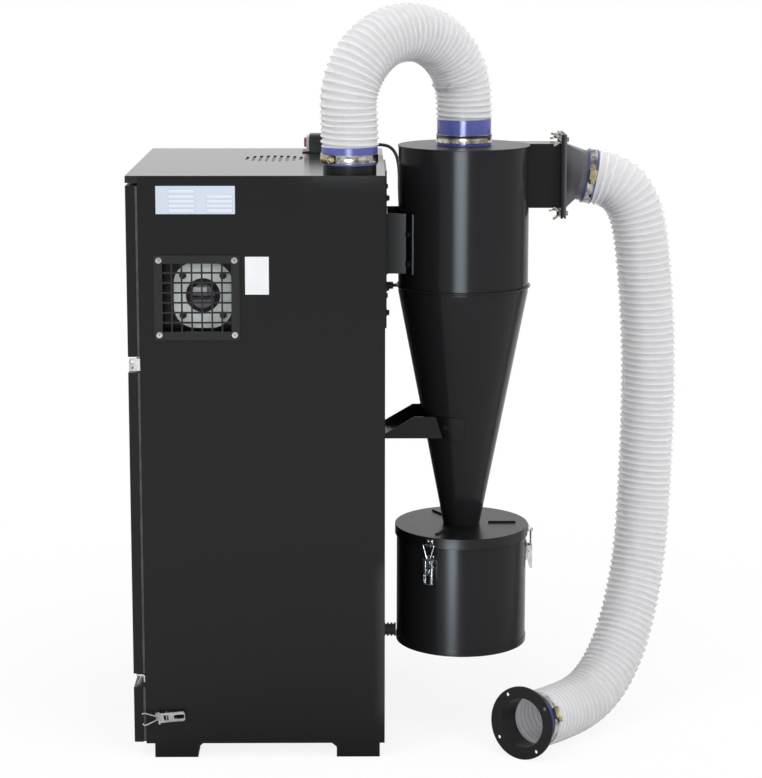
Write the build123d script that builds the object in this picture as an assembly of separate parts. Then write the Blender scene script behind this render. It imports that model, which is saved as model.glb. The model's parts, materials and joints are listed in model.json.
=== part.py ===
from build123d import *
import math
import os

# Black extraction cabinet with a cyclone separator bracketed to its back panel.
# Millimetres. X runs from the doors to the cyclone, Y from the fan side to the far side, Z up.
# The origin is on the floor, in the middle of the footprint box of everything but the free hose.

# Sheet, clearances and cuts
sheet = 1.5
running_gap = 0.3
overrun = 20.0

# Cabinet
cabinet_width = 359.0
cabinet_depth = 426.0
cabinet_height = 818.0
foot_height = 21.5
panel_return = 22.0
lip_height = 10.0
latch_stand_off = 12.0

# Doors on the front of the cabinet
door_thickness = 13.0
door_edge_radius = 1.2
seal_thickness = 4.0
seal_width = 9.0
seal_inset = 0.5
door_clearance = 2.5
bottom_door_height = 82.0
lower_door_gap = 20.0
lower_door_height = 438.0
upper_door_gap = 22.0
door_top_gap = 3.5

# Catches in the gaps between the doors
catch_sheet = 1.5
catch_clearance = 2.25
catch_reach = 15.5
catch_foot = 14.0
catch_hole_radius = 1.9
catch_hole_inset = 4.6
catch_corner_radius = 2.5
hook_reach = 13.0
hook_clearance = 1.0
hook_depth = 14.0
hook_nose = 9.0

# Folded feet under the cabinet
foot_width = 62.0
foot_wall = 2.0
foot_flare = 8.0
foot_straight = 15.0
foot_inset = 2.0
front_foot_inset = 29.0
rear_foot_inset = 7.0

# Ventilation slots in the top
slot_count = 9
slot_pitch = 10.0
slot_width = 4.5
slot_field = 96.0
slot_field_back = 162.5
slot_field_side = 255.0

# Fan guard, the recess behind it and the blower face in the recess
guard_size = 119.0
guard_corner_radius = 3.0
guard_thickness = 2.5
guard_cells = 7
guard_pitch = 14.0
guard_bar = 2.3
guard_hole_spacing = 104.8
guard_hole_radius = 2.4
guard_front = 80.5
guard_drop = 169.7
recess_half = 52.0
recess_depth = 22.0
face_width = 82.0
face_height = 93.0
face_corner_radius = 30.0
face_thickness = 2.0
face_bore_radius = 24.0
face_hole_spacing = 56.0
face_hole_radius = 2.6
face_shift = 7.0
motor_radius = 17.0
motor_length = 12.0
motor_cap_radius = 8.0
motor_cap_length = 3.0

# Round duct connections
spigot_radius = 37.5
spigot_wall = 2.0
cuff_gap = 0.2
cuff_wall = 1.6
clamp_wall = 1.0
clamp_width = 12.0
hose_oversize = 3.5
hose_wall = 2.5

# Cabinet outlet spigot
cabinet_spigot_back = 49.3
cabinet_spigot_side = 47.0
cabinet_spigot_height = 34.0
cabinet_cuff_base = 12.0
cabinet_cuff_height = 24.5
cabinet_clamp_base = 15.0

# The short hose, an arch from the cabinet to the middle of the cyclone
arch_height = 126.5
arch_bulge = 3.0
arch_rise = 30.0
arch_corners = 8

# Cyclone
back_gap = 19.7
axis_side = 165.0
cyclone_rise = 28.5
barrel_radius = 95.0
barrel_height = 203.0
top_plate_thickness = 2.0
top_plate_overhang = 1.0
finder_depth = 130.0
outlet_height = 37.0
outlet_cuff_height = 37.5
outlet_clamp_base = 4.0
bead_radius = 1.6
collar_height = 9.0
cone_seam_rise = 41.0
cone_tip_radius = 27.0

# Inlet duct, its flanges and the round connection
duct_width = 47.5
duct_height = 95.0
duct_drop = 1.0
duct_start = 14.0
duct_reach = 148.0
flange_overhang_side = 14.0
flange_overhang_height = 14.5
flange_thickness = 3.0
gasket_thickness = 2.0
transition_length = 22.0
stub_length = 17.0
stub_droop = 9.4
inlet_cuff_start = 7.5
inlet_cuff_length = 15.0
inlet_clamp_start = 9.0

# Brackets between the cabinet and the cyclone
plate_thickness = 3.0
plate_half_width = 88.0
plate_below_barrel = 50.0
plate_top_gap = 1.5
bracket_sheet = 2.0
bracket_half_width = 48.0
saddle_wrap = 12.0
upper_bracket_rise = 23.0
upper_bracket_height = 87.0
lower_bracket_hug = 6.0
lower_bracket_height = 32.0
lower_bracket_heel = 6.0
lower_bracket_slope = 44.0

# Dust bin and its lid
bin_radius = 96.3
bin_wall = 1.2
bin_base = 127.0
bin_height = 177.0
bin_bead = 0.8
bin_bead_height = 9.0
lid_overhang = 2.5
lid_skirt = 15.0
lid_sheet = 1.5
lid_rib_start = 40.0
lid_rib_length = 41.0
lid_rib_width = 3.4
lid_rib_height = 2.6
bin_latch_count = 3
bin_latch_drop = 54.5

# Rubber buffer between the cabinet and the bin
buffer_radius = 10.0
buffer_groove = 1.8
buffer_ribs = 4
buffer_rise = 12.0

# Toggle latches
latch_length = 41.0
latch_width = 17.0
latch_plate = 1.5
latch_ear = 1.3
latch_ear_length = 22.0
latch_tail = 10.0
latch_tip_share = 0.5
latch_lever_height = 9.0
latch_slot_width = 4.0
latch_slot_length = 14.0
bail_wire = 2.2
bail_width = 20.0
bail_nose = 5.0
bail_reach = 19.0
keeper_width = 11.0
keeper_foot = 11.0
cabinet_latch_front = 53.0
cabinet_latch_rise = 40.0

# Control unit on the top of the cabinet
control_length = 92.0
control_width = 44.0
control_height = 28.0
control_round = 10.0
control_back = 20.0
control_side = 366.0
control_foot = 2.0
control_foot_overhang = 6.0
bezel_length = 5.0
bezel_inset = 3.0
rocker_length = 3.5
rocker_width = 16.0
rocker_height = 14.0
cable_radius = 2.5
gland_radius = 5.5
gland_length = 8.0
gland_height = 9.0
panel_gland_length = 12.0
panel_gland_inset = 10.0
panel_gland_rise = 37.0

# Free end flange of the hose, leaning back a little where it stands on the floor
free_flange_radius = 52.3
free_flange_thickness = 3.0
free_bolt_circle_radius = 45.5
free_hole_radius = 2.6
free_hole_count = 4
free_hole_turn = 37.6
free_spigot_length = 36.0
free_flange_beside = 196.1
free_flange_front = -4.4
free_flange_turn = 37.6
free_flange_lean = 7.3
end_cuff_start = 8.0
end_cuff_length = 32.0
end_clamp_start = 17.0

# Routes of the free cords, from the exit to the far end
hose_corners = [
    (337.5, 29.25, 813.78),
    (355.9, 29.25, 810.73),
    (372.9, 29.6, 802.4),
    (387.2, 30.4, 788.8),
    (398.6, 31.6, 768.4),
    (407.8, 33.2, 734.0),
    (414.2, 35.2, 685.0),
    (420.5, 37.4, 620.0),
    (424.4, 38.8, 551.0),
    (425.5, 39.2, 481.0),
    (424.5, 38.0, 411.0),
    (422.1, 34.6, 343.0),
    (418.1, 26.6, 280.0),
    (411.1, 12.4, 222.0),
    (398.7, -8.6, 167.0),
    (381.1, -36.0, 117.0),
    (358.5, -63.4, 79.0),
    (333.9, -87.6, 55.5),
    (308.9, -109.0, 44.6),
    (284.5, -131.4, 42.4),
    (260.04, -159.53, 43.87),
    (244.5, -179.72, 47.14),
]
cable_corners = [
    (12.0, 159.0, 850.5),
    (25.5, 159.0, 850.5),
    (38.0, 152.5, 846.8),
    (46.5, 140.5, 834.6),
    (49.6, 126.4, 813.0),
    (49.2, 112.4, 785.0),
    (50.6, 100.0, 753.0),
    (54.6, 86.0, 720.0),
    (60.0, 71.0, 690.0),
    (64.0, 56.0, 668.0),
    (62.0, 43.5, 655.0),
    (52.0, 36.0, 650.0),
    (39.0, 36.0, 650.0),
]

# Places worked out from the sizes
axis_offset = max(barrel_radius, bin_radius) + back_gap
beyond_cabinet = (
    axis_offset + duct_reach + flange_thickness + gasket_thickness + flange_thickness
    + transition_length + stub_length
)
x_back = (cabinet_width - beyond_cabinet) / 2
x_door = x_back - cabinet_width
x_front = x_door + door_thickness + seal_thickness
y_near = (latch_stand_off - cabinet_depth) / 2
y_far = y_near + cabinet_depth
z_base = foot_height
z_top = z_base + cabinet_height
bottom_door_base = z_base + door_clearance
lower_door_base = bottom_door_base + bottom_door_height + lower_door_gap
upper_door_base = lower_door_base + lower_door_height + upper_door_gap
upper_door_height = z_top - lip_height - door_top_gap - upper_door_base
axis_x = x_back + axis_offset
axis_y = y_near + axis_side
top_face = z_top + cyclone_rise
barrel_top = top_face - top_plate_thickness
barrel_base = barrel_top - barrel_height
cone_top = barrel_base - collar_height
lid_top = bin_base + bin_height
lid_radius = bin_radius + lid_overhang
cone_seam = lid_top + cone_seam_rise
cone_slope = (barrel_radius - cone_tip_radius) / (cone_top - lid_top)
seam_radius = cone_tip_radius + cone_slope * (cone_seam - lid_top)
plate_base = barrel_base - plate_below_barrel
upper_bracket_base = barrel_base + upper_bracket_rise
lower_bracket_radius = bracket_half_width + lower_bracket_hug
lower_bracket_base = lid_top + (lower_bracket_radius - cone_tip_radius) / cone_slope
duct_top = barrel_top - duct_drop
duct_base = duct_top - duct_height
duct_far = axis_y + barrel_radius
duct_near = duct_far - duct_width
duct_end = axis_x + duct_reach
inlet_y = (duct_near + duct_far) / 2
inlet_z = (duct_base + duct_top) / 2
transition_start = duct_end + gasket_thickness
transition_end = transition_start + flange_thickness + transition_length
spigot_x = x_back - cabinet_spigot_back
spigot_y = y_near + cabinet_spigot_side
cuff_inner = spigot_radius + cuff_gap
cuff_outer = cuff_inner + cuff_wall
clamp_inner = cuff_outer + cuff_gap
clamp_outer = clamp_inner + clamp_wall
hose_radius = spigot_radius + hose_oversize
guard_x = x_front + guard_front
guard_height = z_top - guard_drop
recess_y = y_near + sheet


def slab(x0, x1, y0, y1, z0, z1):
    """A block between two corners."""
    block = Box(x1 - x0, y1 - y0, z1 - z0, align=(Align.MIN, Align.MIN, Align.MIN))
    return Pos(x0, y0, z0) * block


def rod(x, y, z0, z1, radius):
    """An upright cylinder."""
    upright = Cylinder(radius, z1 - z0, align=(Align.CENTER, Align.CENTER, Align.MIN))
    return Pos(x, y, z0) * upright


def ring(x, y, z0, z1, outer, inner):
    """An upright tube."""
    hole = rod(x, y, z0 - overrun, z1 + overrun, inner)
    return rod(x, y, z0, z1, outer) - hole


def frustum(z0, z1, r0, r1):
    """A solid cone on the cyclone's axis."""
    body = Cone(r0, r1, z1 - z0, align=(Align.CENTER, Align.CENTER, Align.MIN))
    return Pos(axis_x, axis_y, z0) * body


def ring_on(plane, start, length, outer, inner):
    """A tube along a plane's normal, from a distance in front of the plane."""
    annulus = Circle(outer) - Circle(inner)
    return extrude(plane.offset(start) * annulus, length)


def turns_of(points):
    """The turn at each inner point of a route, in degrees."""
    runs = [b - a for a, b in zip(points, points[1:])]
    return [a.get_angle(b) for a, b in zip(runs, runs[1:])]


def bend_radii(points):
    """Each bend as large as its two runs allow."""
    arc_share = 0.45
    runs = [(b - a).length for a, b in zip(points, points[1:])]
    shorter = [min(a, b) for a, b in zip(runs, runs[1:])]
    halves = [math.radians(turn) / 2 for turn in turns_of(points)]
    return [arc_share * run / math.tan(half) for run, half in zip(shorter, halves)]


def tube_along(points, outer, inner, name):
    """A tube made of straight runs and tangent arcs."""
    points = [Vector(*point) for point in points]
    radii = bend_radii(points)
    path = FilletPolyline(*points, radius=radii)
    start = Plane(origin=points[0], z_dir=points[1] - points[0])
    section = Circle(outer) - Circle(inner) if inner else Circle(outer)
    tube = sweep(start * section, path=path)
    area = math.pi * (outer**2 - inner**2)
    print(name, "length", round(path.length, 1), "radii", [round(r) for r in radii])
    print(name, "volume over section times length", round(tube.volume / area / path.length, 4))
    return tube


def side_panel(outer_y, inner_y, return_y):
    """One side of the cabinet, with a return at its front and back edges."""
    low, high = sorted((outer_y, inner_y))
    wall = slab(x_front, x_back, low, high, z_base, z_top - sheet)
    low, high = sorted((outer_y, return_y))
    front = slab(x_front, x_front + sheet, low, high, z_base + sheet, z_top - sheet)
    back_in = x_back - sheet
    back = slab(back_in - sheet, back_in, low, high, z_base + sheet, z_top - sheet)
    return wall + front + back


def right_side_panel():
    """The near side, with the square opening that the fan blows through."""
    panel = side_panel(y_near, y_near + sheet, y_near + panel_return)
    opening = slab(
        guard_x - recess_half, guard_x + recess_half,
        y_near - overrun, y_near + overrun,
        guard_height - recess_half, guard_height + recess_half,
    )
    return panel - opening


def left_side_panel():
    """The far side, plain."""
    return side_panel(y_far, y_far - sheet, y_far - panel_return)


def back_panel():
    """The sheet that carries the cyclone's brackets."""
    return slab(
        x_back - sheet, x_back, y_near + sheet, y_far - sheet, z_base + sheet, z_top - sheet
    )


def front_panel():
    """The bulkhead behind the doors, inside the side panels' front returns."""
    front = x_front + sheet
    return slab(
        front, front + sheet, y_near + sheet, y_far - sheet, z_base + sheet, z_top - sheet
    )


def base_plate():
    """The floor of the cabinet, between the side panels."""
    return slab(x_front, x_back, y_near + sheet, y_far - sheet, z_base, z_base + sheet)


def vent_slots():
    """Parallel slots whose ends lie on a circle."""
    field_x = x_back - slot_field_back
    field_y = y_near + slot_field_side
    middle = (slot_count - 1) / 2
    radius = slot_field / 2
    slots = []
    for index in range(slot_count):
        offset = (index - middle) * slot_pitch
        length = 2 * math.sqrt(radius**2 - offset**2)
        outline = Rot(0, 0, 90) * SlotOverall(length, slot_width)
        centre = Pos(field_x + offset, field_y, z_top - overrun)
        slots.append(extrude(centre * outline, 2 * overrun))
    return slots


def top_cover():
    """The top sheet, reaching over the doors with a folded lip, with its slots and duct hole."""
    cover = slab(x_door, x_back, y_near, y_far, z_top - sheet, z_top)
    lip = slab(x_door, x_front, y_near, y_far, z_top - lip_height, z_top - sheet)
    pocket = slab(
        x_door + sheet, x_front + overrun, y_near + sheet, y_far - sheet,
        z_top - lip_height - overrun, z_top - sheet,
    )
    cover = cover + (lip - pocket)
    cover = cover - rod(
        spigot_x, spigot_y, z_top - overrun, z_top + overrun, spigot_radius - spigot_wall
    )
    for slot in vent_slots():
        cover = cover - slot
    return cover


def door(base, height):
    """A folded tray door, open towards the cabinet."""
    outer = slab(x_door, x_door + door_thickness, y_near, y_far, base, base + height)
    outer = fillet(outer.faces().sort_by(Axis.X)[0].edges(), door_edge_radius)
    inner = slab(
        x_door + sheet, x_door + door_thickness + overrun,
        y_near + sheet, y_far - sheet, base + sheet, base + height - sheet,
    )
    return outer - inner


def door_seal(base, height):
    """The soft strip round the back of a door."""
    low = seal_inset
    front = x_door + door_thickness
    outer = slab(
        front, x_front, y_near + low, y_far - low, base + low, base + height - low
    )
    low = seal_inset + seal_width
    inner = slab(
        front - overrun, x_front + overrun,
        y_near + low, y_far - low, base + low, base + height - low,
    )
    return outer - inner


def door_seals():
    """One seal for each door."""
    doors = (
        (upper_door_base, upper_door_height),
        (lower_door_base, lower_door_height),
        (bottom_door_base, bottom_door_height),
    )
    return Compound([door_seal(base, height) for base, height in doors])


def upper_catch():
    """A bent plate with two holes, in the gap under the upper door."""
    base = upper_door_base - upper_door_gap + catch_clearance
    top = upper_door_base - catch_clearance
    tip = x_front - catch_reach
    web = slab(tip, x_front, y_near, y_near + catch_sheet, base, top)
    web = fillet(
        web.edges().filter_by(Axis.Y).group_by(Axis.X)[0], catch_corner_radius
    )
    foot = slab(x_front - catch_sheet, x_front, y_near, y_near + catch_foot, base, top)
    catch = web + foot
    for side in (base + catch_hole_inset, top - catch_hole_inset):
        hole = Cylinder(catch_hole_radius, 2 * overrun, rotation=(90, 0, 0))
        catch = catch - Pos(tip + catch_hole_inset, y_near, side) * hole
    return catch


def lower_catch():
    """A bent hook with a slanted strip, in the gap over the bottom door."""
    base = lower_door_base - lower_door_gap + hook_clearance
    top = lower_door_base - hook_clearance
    tip = x_front - hook_reach
    nose = x_front - hook_nose
    arm = [
        (tip, top - catch_sheet),
        (x_front, top - catch_sheet),
        (x_front, base),
        (x_front - catch_sheet, base),
        (x_front - catch_sheet, top - 2 * catch_sheet),
        (nose, top - 2 * catch_sheet),
        (tip + 2 * catch_sheet, base),
        (tip, base),
        (nose - catch_sheet, top - 2 * catch_sheet),
        (tip, top - 2 * catch_sheet),
    ]
    outline = Plane.XZ.offset(-y_near) * make_face(Polyline(*arm, close=True))
    return extrude(outline, -hook_depth)


def foot(x0, x1, flare_side):
    """A folded foot across the cabinet, with a flare at its inner top edge."""
    tall = foot_height
    low = foot_straight
    if flare_side > 0:
        outline = [(x0, 0), (x1, 0), (x1, low), (x1 + foot_flare, tall), (x0, tall)]
    else:
        outline = [(x0, 0), (x1, 0), (x1, tall), (x0 - foot_flare, tall), (x0, low)]
    face = make_face(Polyline(*outline, close=True))
    near = y_near + foot_inset
    far = y_far - foot_inset
    body = extrude(Plane.XZ.offset(-near) * face, near - far)
    pocket = slab(
        x0 + foot_wall, x1 - foot_wall, near + foot_wall, far - foot_wall,
        foot_wall, foot_height + overrun,
    )
    return body - pocket


def front_foot():
    """The foot under the doors' side."""
    start = x_door + front_foot_inset
    return foot(start, start + foot_width, 1)


def rear_foot():
    """The foot under the back panel."""
    end = x_back - rear_foot_inset
    return foot(end - foot_width, end, -1)


def fan_guard():
    """A square finger guard: a grid of bars in a flat frame with a screw hole in each corner."""
    cell = guard_pitch - guard_bar
    plate = RectangleRounded(guard_size, guard_size, guard_corner_radius)
    cells = GridLocations(guard_pitch, guard_pitch, guard_cells, guard_cells)
    windows = [spot * Rectangle(cell, cell) for spot in cells]
    corners = GridLocations(guard_hole_spacing, guard_hole_spacing, 2, 2)
    holes = [spot * Circle(guard_hole_radius) for spot in corners]
    grid = plate - windows - holes
    at = Plane(origin=(guard_x, y_near, guard_height), x_dir=(1, 0, 0), z_dir=(0, -1, 0))
    return extrude(at * grid, guard_thickness)


def fan_recess():
    """The open box behind the guard."""
    half = recess_half + sheet
    back = recess_y + recess_depth
    outer = slab(
        guard_x - half, guard_x + half, recess_y, back + sheet,
        guard_height - half, guard_height + half,
    )
    inner = slab(
        guard_x - recess_half, guard_x + recess_half, recess_y - overrun, back,
        guard_height - recess_half, guard_height + recess_half,
    )
    return outer - inner


def blower_face():
    """The pale rounded plate at the back of the recess, with its round opening."""
    at = Plane(
        origin=(guard_x + face_shift, recess_y + recess_depth, guard_height),
        x_dir=(1, 0, 0), z_dir=(0, -1, 0),
    )
    plate = RectangleRounded(face_width, face_height, face_corner_radius)
    corners = GridLocations(face_hole_spacing, face_hole_spacing, 2, 2)
    holes = [spot * Circle(face_hole_radius) for spot in corners]
    plate = plate - Circle(face_bore_radius) - holes
    return extrude(at * plate, face_thickness)


def blower_motor():
    """The end of the motor, seen in the round opening."""
    at = Plane(
        origin=(guard_x + face_shift, recess_y + recess_depth, guard_height),
        x_dir=(1, 0, 0), z_dir=(0, -1, 0),
    )
    body = extrude(at * Circle(motor_radius), motor_length)
    cap = extrude(at.offset(motor_length) * Circle(motor_cap_radius), motor_cap_length)
    return body + cap


def cabinet_spigot():
    """The round outlet on the cabinet's top."""
    return ring(
        spigot_x, spigot_y, z_top, z_top + cabinet_spigot_height,
        spigot_radius, spigot_radius - spigot_wall,
    )


def outlet_tube():
    """The outlet through the middle of the cyclone's top, reaching down inside the barrel."""
    return ring(
        axis_x, axis_y, top_face - finder_depth, top_face + outlet_height,
        spigot_radius, spigot_radius - spigot_wall,
    )


def arch_cuffs():
    """The soft end cuffs of the short hose, pushed over both upright spigots."""
    base = z_top + cabinet_cuff_base
    low = ring(spigot_x, spigot_y, base, base + cabinet_cuff_height, cuff_outer, cuff_inner)
    high = ring(
        axis_x, axis_y, top_face, top_face + outlet_cuff_height, cuff_outer, cuff_inner
    )
    return Compound([low, high])


def arch_clamps():
    """The clamp bands round the cuffs of the short hose."""
    base = z_top + cabinet_clamp_base
    low = ring(spigot_x, spigot_y, base, base + clamp_width, clamp_outer, clamp_inner)
    base = top_face + outlet_clamp_base
    high = ring(axis_x, axis_y, base, base + clamp_width, clamp_outer, clamp_inner)
    return Compound([low, high])


def arch_route():
    """The arch's corners: a rise from the cabinet, then a half circle that bulges outwards there."""
    start = Vector(spigot_x, spigot_y, z_top + cabinet_cuff_base + cabinet_cuff_height)
    end = Vector(axis_x, axis_y, top_face + outlet_cuff_height)
    span = Vector(end.X - start.X, end.Y - start.Y, 0)
    across = span.normalized()
    radius = (span.length + arch_bulge) / 2
    step = math.pi / arch_corners
    corner_radius = radius / math.cos(step / 2)
    centre = start + span / 2 - across * (arch_bulge / 2)
    centre_z = max(start.Z, end.Z) + arch_height - radius
    points = [start, start + Vector(0, 0, arch_rise)]
    for index in range(arch_corners):
        angle = (index - (arch_corners - 1) / 2) * step
        side = corner_radius * math.sin(angle)
        tall = centre_z + corner_radius * math.cos(angle)
        points.append(Vector(centre.X, centre.Y, tall) + across * side)
    return points + [end]


def arch_hose():
    """The short hose itself."""
    return tube_along(arch_route(), hose_radius, hose_radius - hose_wall, "arch_hose")


def cyclone_barrel():
    """The upper cylinder, cut open where the inlet duct joins it."""
    barrel = ring(
        axis_x, axis_y, barrel_base, barrel_top, barrel_radius, barrel_radius - sheet
    )
    mouth = slab(
        axis_x + duct_start, duct_end, duct_near + sheet, duct_far - sheet,
        duct_base + sheet, duct_top - sheet,
    )
    return barrel - mouth


def cyclone_top():
    """The flat top of the barrel, round the outlet tube."""
    return ring(
        axis_x, axis_y, barrel_top, top_face,
        barrel_radius + top_plate_overhang, spigot_radius,
    )


def seam_ring():
    """The bead round the joint of barrel and cone."""
    centre = (barrel_radius + running_gap + bead_radius, 0)
    bead = Pos(*centre) * Circle(bead_radius)
    turned = revolve(Plane.XZ * bead, axis=Axis.Z)
    return Pos(axis_x, axis_y, barrel_base) * turned


def cyclone_cone():
    """The collar and the long cone below the barrel, down to the seam."""
    outer = frustum(cone_seam, cone_top, seam_radius, barrel_radius)
    outer = outer + rod(axis_x, axis_y, cone_top, barrel_base, barrel_radius)
    inner = frustum(cone_seam, cone_top, seam_radius - sheet, barrel_radius - sheet)
    inner = inner + rod(
        axis_x, axis_y, cone_top, barrel_base + overrun, barrel_radius - sheet
    )
    inner = inner + rod(
        axis_x, axis_y, cone_seam - overrun, cone_seam, seam_radius - sheet
    )
    return outer - inner


def dust_outlet():
    """The short end of the cone, standing on the lid of the bin."""
    outer = frustum(lid_top, cone_seam, cone_tip_radius, seam_radius)
    inner = frustum(lid_top, cone_seam, cone_tip_radius - sheet, seam_radius - sheet)
    return outer - inner


def duct_flange(x):
    """A rectangular flange plate round the duct, without its window."""
    return slab(
        x, x + flange_thickness,
        duct_near - flange_overhang_side, duct_far + flange_overhang_side,
        duct_base - flange_overhang_height, duct_top + flange_overhang_height,
    )


def duct_window(x0, x1):
    """The open inside of the rectangular duct."""
    return slab(
        x0, x1, duct_near + sheet, duct_far - sheet, duct_base + sheet, duct_top - sheet
    )


def inlet_duct():
    """The rectangular inlet, tangent to the far side of the barrel, with its flange."""
    tube = slab(axis_x + duct_start, duct_end, duct_near, duct_far, duct_base, duct_top)
    duct = tube + duct_flange(duct_end - flange_thickness)
    duct = duct - duct_window(axis_x, duct_end + overrun)
    barrel = rod(axis_x, axis_y, barrel_base, barrel_top + overrun, barrel_radius)
    return duct - barrel


def flange_gasket():
    """The gasket between the two flanges."""
    plate = slab(
        duct_end, transition_start,
        duct_near - flange_overhang_side + sheet, duct_far + flange_overhang_side - sheet,
        duct_base - flange_overhang_height + sheet, duct_top + flange_overhang_height - sheet,
    )
    return plate - duct_window(axis_x, transition_start + overrun)


def stub_plane():
    """The drooping axis of the inlet's round end."""
    droop = math.radians(stub_droop)
    return Plane(
        origin=(transition_end, inlet_y, inlet_z),
        x_dir=(0, 1, 0),
        z_dir=(math.cos(droop), 0, -math.sin(droop)),
    )


def square_to_round(square_inset, round_inset):
    """The body between the rectangular flange and the drooping round end."""
    start = transition_start + flange_thickness
    square_plane = Plane(origin=(start, inlet_y, inlet_z), x_dir=(0, 1, 0), z_dir=(1, 0, 0))
    square = Rectangle(duct_width - 2 * square_inset, duct_height - 2 * square_inset)
    circle = Circle(spigot_radius - round_inset)
    return loft([square_plane * square, stub_plane() * circle])


def inlet_transition():
    """Flange, square-to-round body and round end of the inlet connection."""
    flange = duct_flange(transition_start)
    flange = flange - duct_window(axis_x, transition_end)
    body = square_to_round(0, 0) - square_to_round(sheet, spigot_wall)
    stub = ring_on(
        stub_plane(), 0, stub_length, spigot_radius, spigot_radius - spigot_wall
    )
    return flange + body + stub


def inlet_cuff():
    """The soft end cuff on the inlet's round end."""
    start = stub_plane().offset(inlet_cuff_start)
    return ring_on(start, 0, inlet_cuff_length, cuff_outer, cuff_inner)


def inlet_clamp():
    """The clamp band round the inlet cuff."""
    return ring_on(stub_plane(), inlet_clamp_start, clamp_width, clamp_outer, clamp_inner)


def mounting_plate():
    """The thick plate on the back panel, under the upper bracket."""
    return slab(
        x_back, x_back + plate_thickness,
        axis_y - plate_half_width, axis_y + plate_half_width,
        plate_base, z_top - plate_top_gap,
    )


def wing_region(reach, base, height):
    """Two strips beside the middle of the cyclone, on the cabinet's side of it."""
    inner = bracket_half_width - bracket_sheet
    strip_x = axis_x - barrel_radius - overrun
    strips = []
    for side in (-1, 1):
        low, high = sorted((axis_y + side * inner, axis_y + side * reach))
        strips.append(slab(strip_x, axis_x, low, high, base, base + height))
    return strips[0] + strips[1]


def upper_bracket():
    """A channel from the mounting plate to the barrel, with feet that hug the barrel."""
    base = upper_bracket_base
    top = base + upper_bracket_height
    x0 = x_back + plate_thickness
    half = bracket_half_width
    thick = bracket_sheet
    near, far = axis_y - half, axis_y + half
    outer = slab(x0, axis_x, near, far, base, top)
    inner = slab(x0 + thick, axis_x, near + thick, far - thick, base - overrun, top + overrun)
    seat = barrel_radius + running_gap
    channel = outer - inner - rod(axis_x, axis_y, base - overrun, top + overrun, seat)
    channel = channel & slab(x0, axis_x - half, near, far, base, top)
    saddle = ring(axis_x, axis_y, base, top, seat + thick, seat)
    saddle = saddle & wing_region(half + saddle_wrap, base, upper_bracket_height)
    return channel + saddle


def cone_radius(z):
    """The cone's outer radius at a height."""
    return cone_tip_radius + cone_slope * (z - lid_top)


def cheek_reach(z):
    """How far a cheek reaches from the back panel to run into its foot on the cone."""
    foot_middle = cone_radius(z) + running_gap + bracket_sheet / 2
    inner = bracket_half_width - bracket_sheet
    return axis_offset - math.sqrt(foot_middle**2 - inner**2)


def lower_bracket():
    """A tray with two shaped cheeks, open where the cone passes, with feet that hug the cone."""
    base = lower_bracket_base
    top = base + lower_bracket_height
    half = bracket_half_width
    thick = bracket_sheet
    cheek = [
        (0, 0), (cheek_reach(base), 0), (cheek_reach(top), lower_bracket_height),
        (lower_bracket_slope, lower_bracket_height), (0, lower_bracket_heel),
    ]
    near, far = axis_y - half, axis_y + half
    at = Plane(origin=(x_back, near, base), x_dir=(1, 0, 0), z_dir=(0, -1, 0))
    outline = at * make_face(Polyline(*cheek, close=True))
    block = extrude(outline, near - far)
    middle = slab(
        x_back + thick, axis_x, near + thick, far - thick, base + thick, top + overrun
    )
    gap = running_gap
    clear = frustum(base, top, cone_radius(base) + gap, cone_radius(top) + gap)
    skin = gap + thick
    hug = frustum(base, top, cone_radius(base) + skin, cone_radius(top) + skin) - clear
    low_strip = wing_region(half + saddle_wrap, base, lower_bracket_height)
    tray = block - middle - clear
    return tray + (hug & low_strip)


def bin_buffer():
    """A ribbed rubber buffer that keeps the bin off the back panel."""
    length = axis_offset - bin_radius - bin_bead - running_gap
    pitch = length / (2 * buffer_ribs - 1)
    at = Plane(origin=(x_back, axis_y, bin_base + buffer_rise), x_dir=(0, 1, 0), z_dir=(1, 0, 0))
    body = extrude(at * Circle(buffer_radius - buffer_groove), length)
    for index in range(buffer_ribs):
        rib = at.offset(2 * index * pitch) * Circle(buffer_radius)
        body = body + extrude(rib, pitch)
    return body


def bin_body():
    """The round bin: a thin shell with a floor, open at the top under the lid."""
    top = lid_top - lid_sheet
    outer = rod(axis_x, axis_y, bin_base, top, bin_radius)
    inner = rod(axis_x, axis_y, bin_base + bin_wall, top + overrun, bin_radius - bin_wall)
    bead = ring(
        axis_x, axis_y, bin_base, bin_base + bin_bead_height,
        bin_radius + bin_bead, bin_radius - bin_wall,
    )
    return outer - inner + bead


def bin_lid():
    """The lid: a disc with a skirt, three radial ribs and the hole for the dust."""
    base = lid_top - lid_skirt
    lid = rod(axis_x, axis_y, base, lid_top, lid_radius)
    under = rod(axis_x, axis_y, base - overrun, lid_top - lid_sheet, bin_radius + running_gap)
    hole = rod(axis_x, axis_y, base, lid_top + overrun, cone_tip_radius - sheet)
    lid = lid - under - hole
    middle = lid_rib_start + lid_rib_length / 2
    outline = SlotOverall(lid_rib_length, lid_rib_width)
    rib = extrude(Pos(middle, 0, 0) * outline, lid_rib_height)
    for spot in range(bin_latch_count):
        turned = Rot(0, 0, spot * 360 / bin_latch_count) * rib
        lid = lid + Pos(axis_x, axis_y, lid_top) * turned
    return lid


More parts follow.
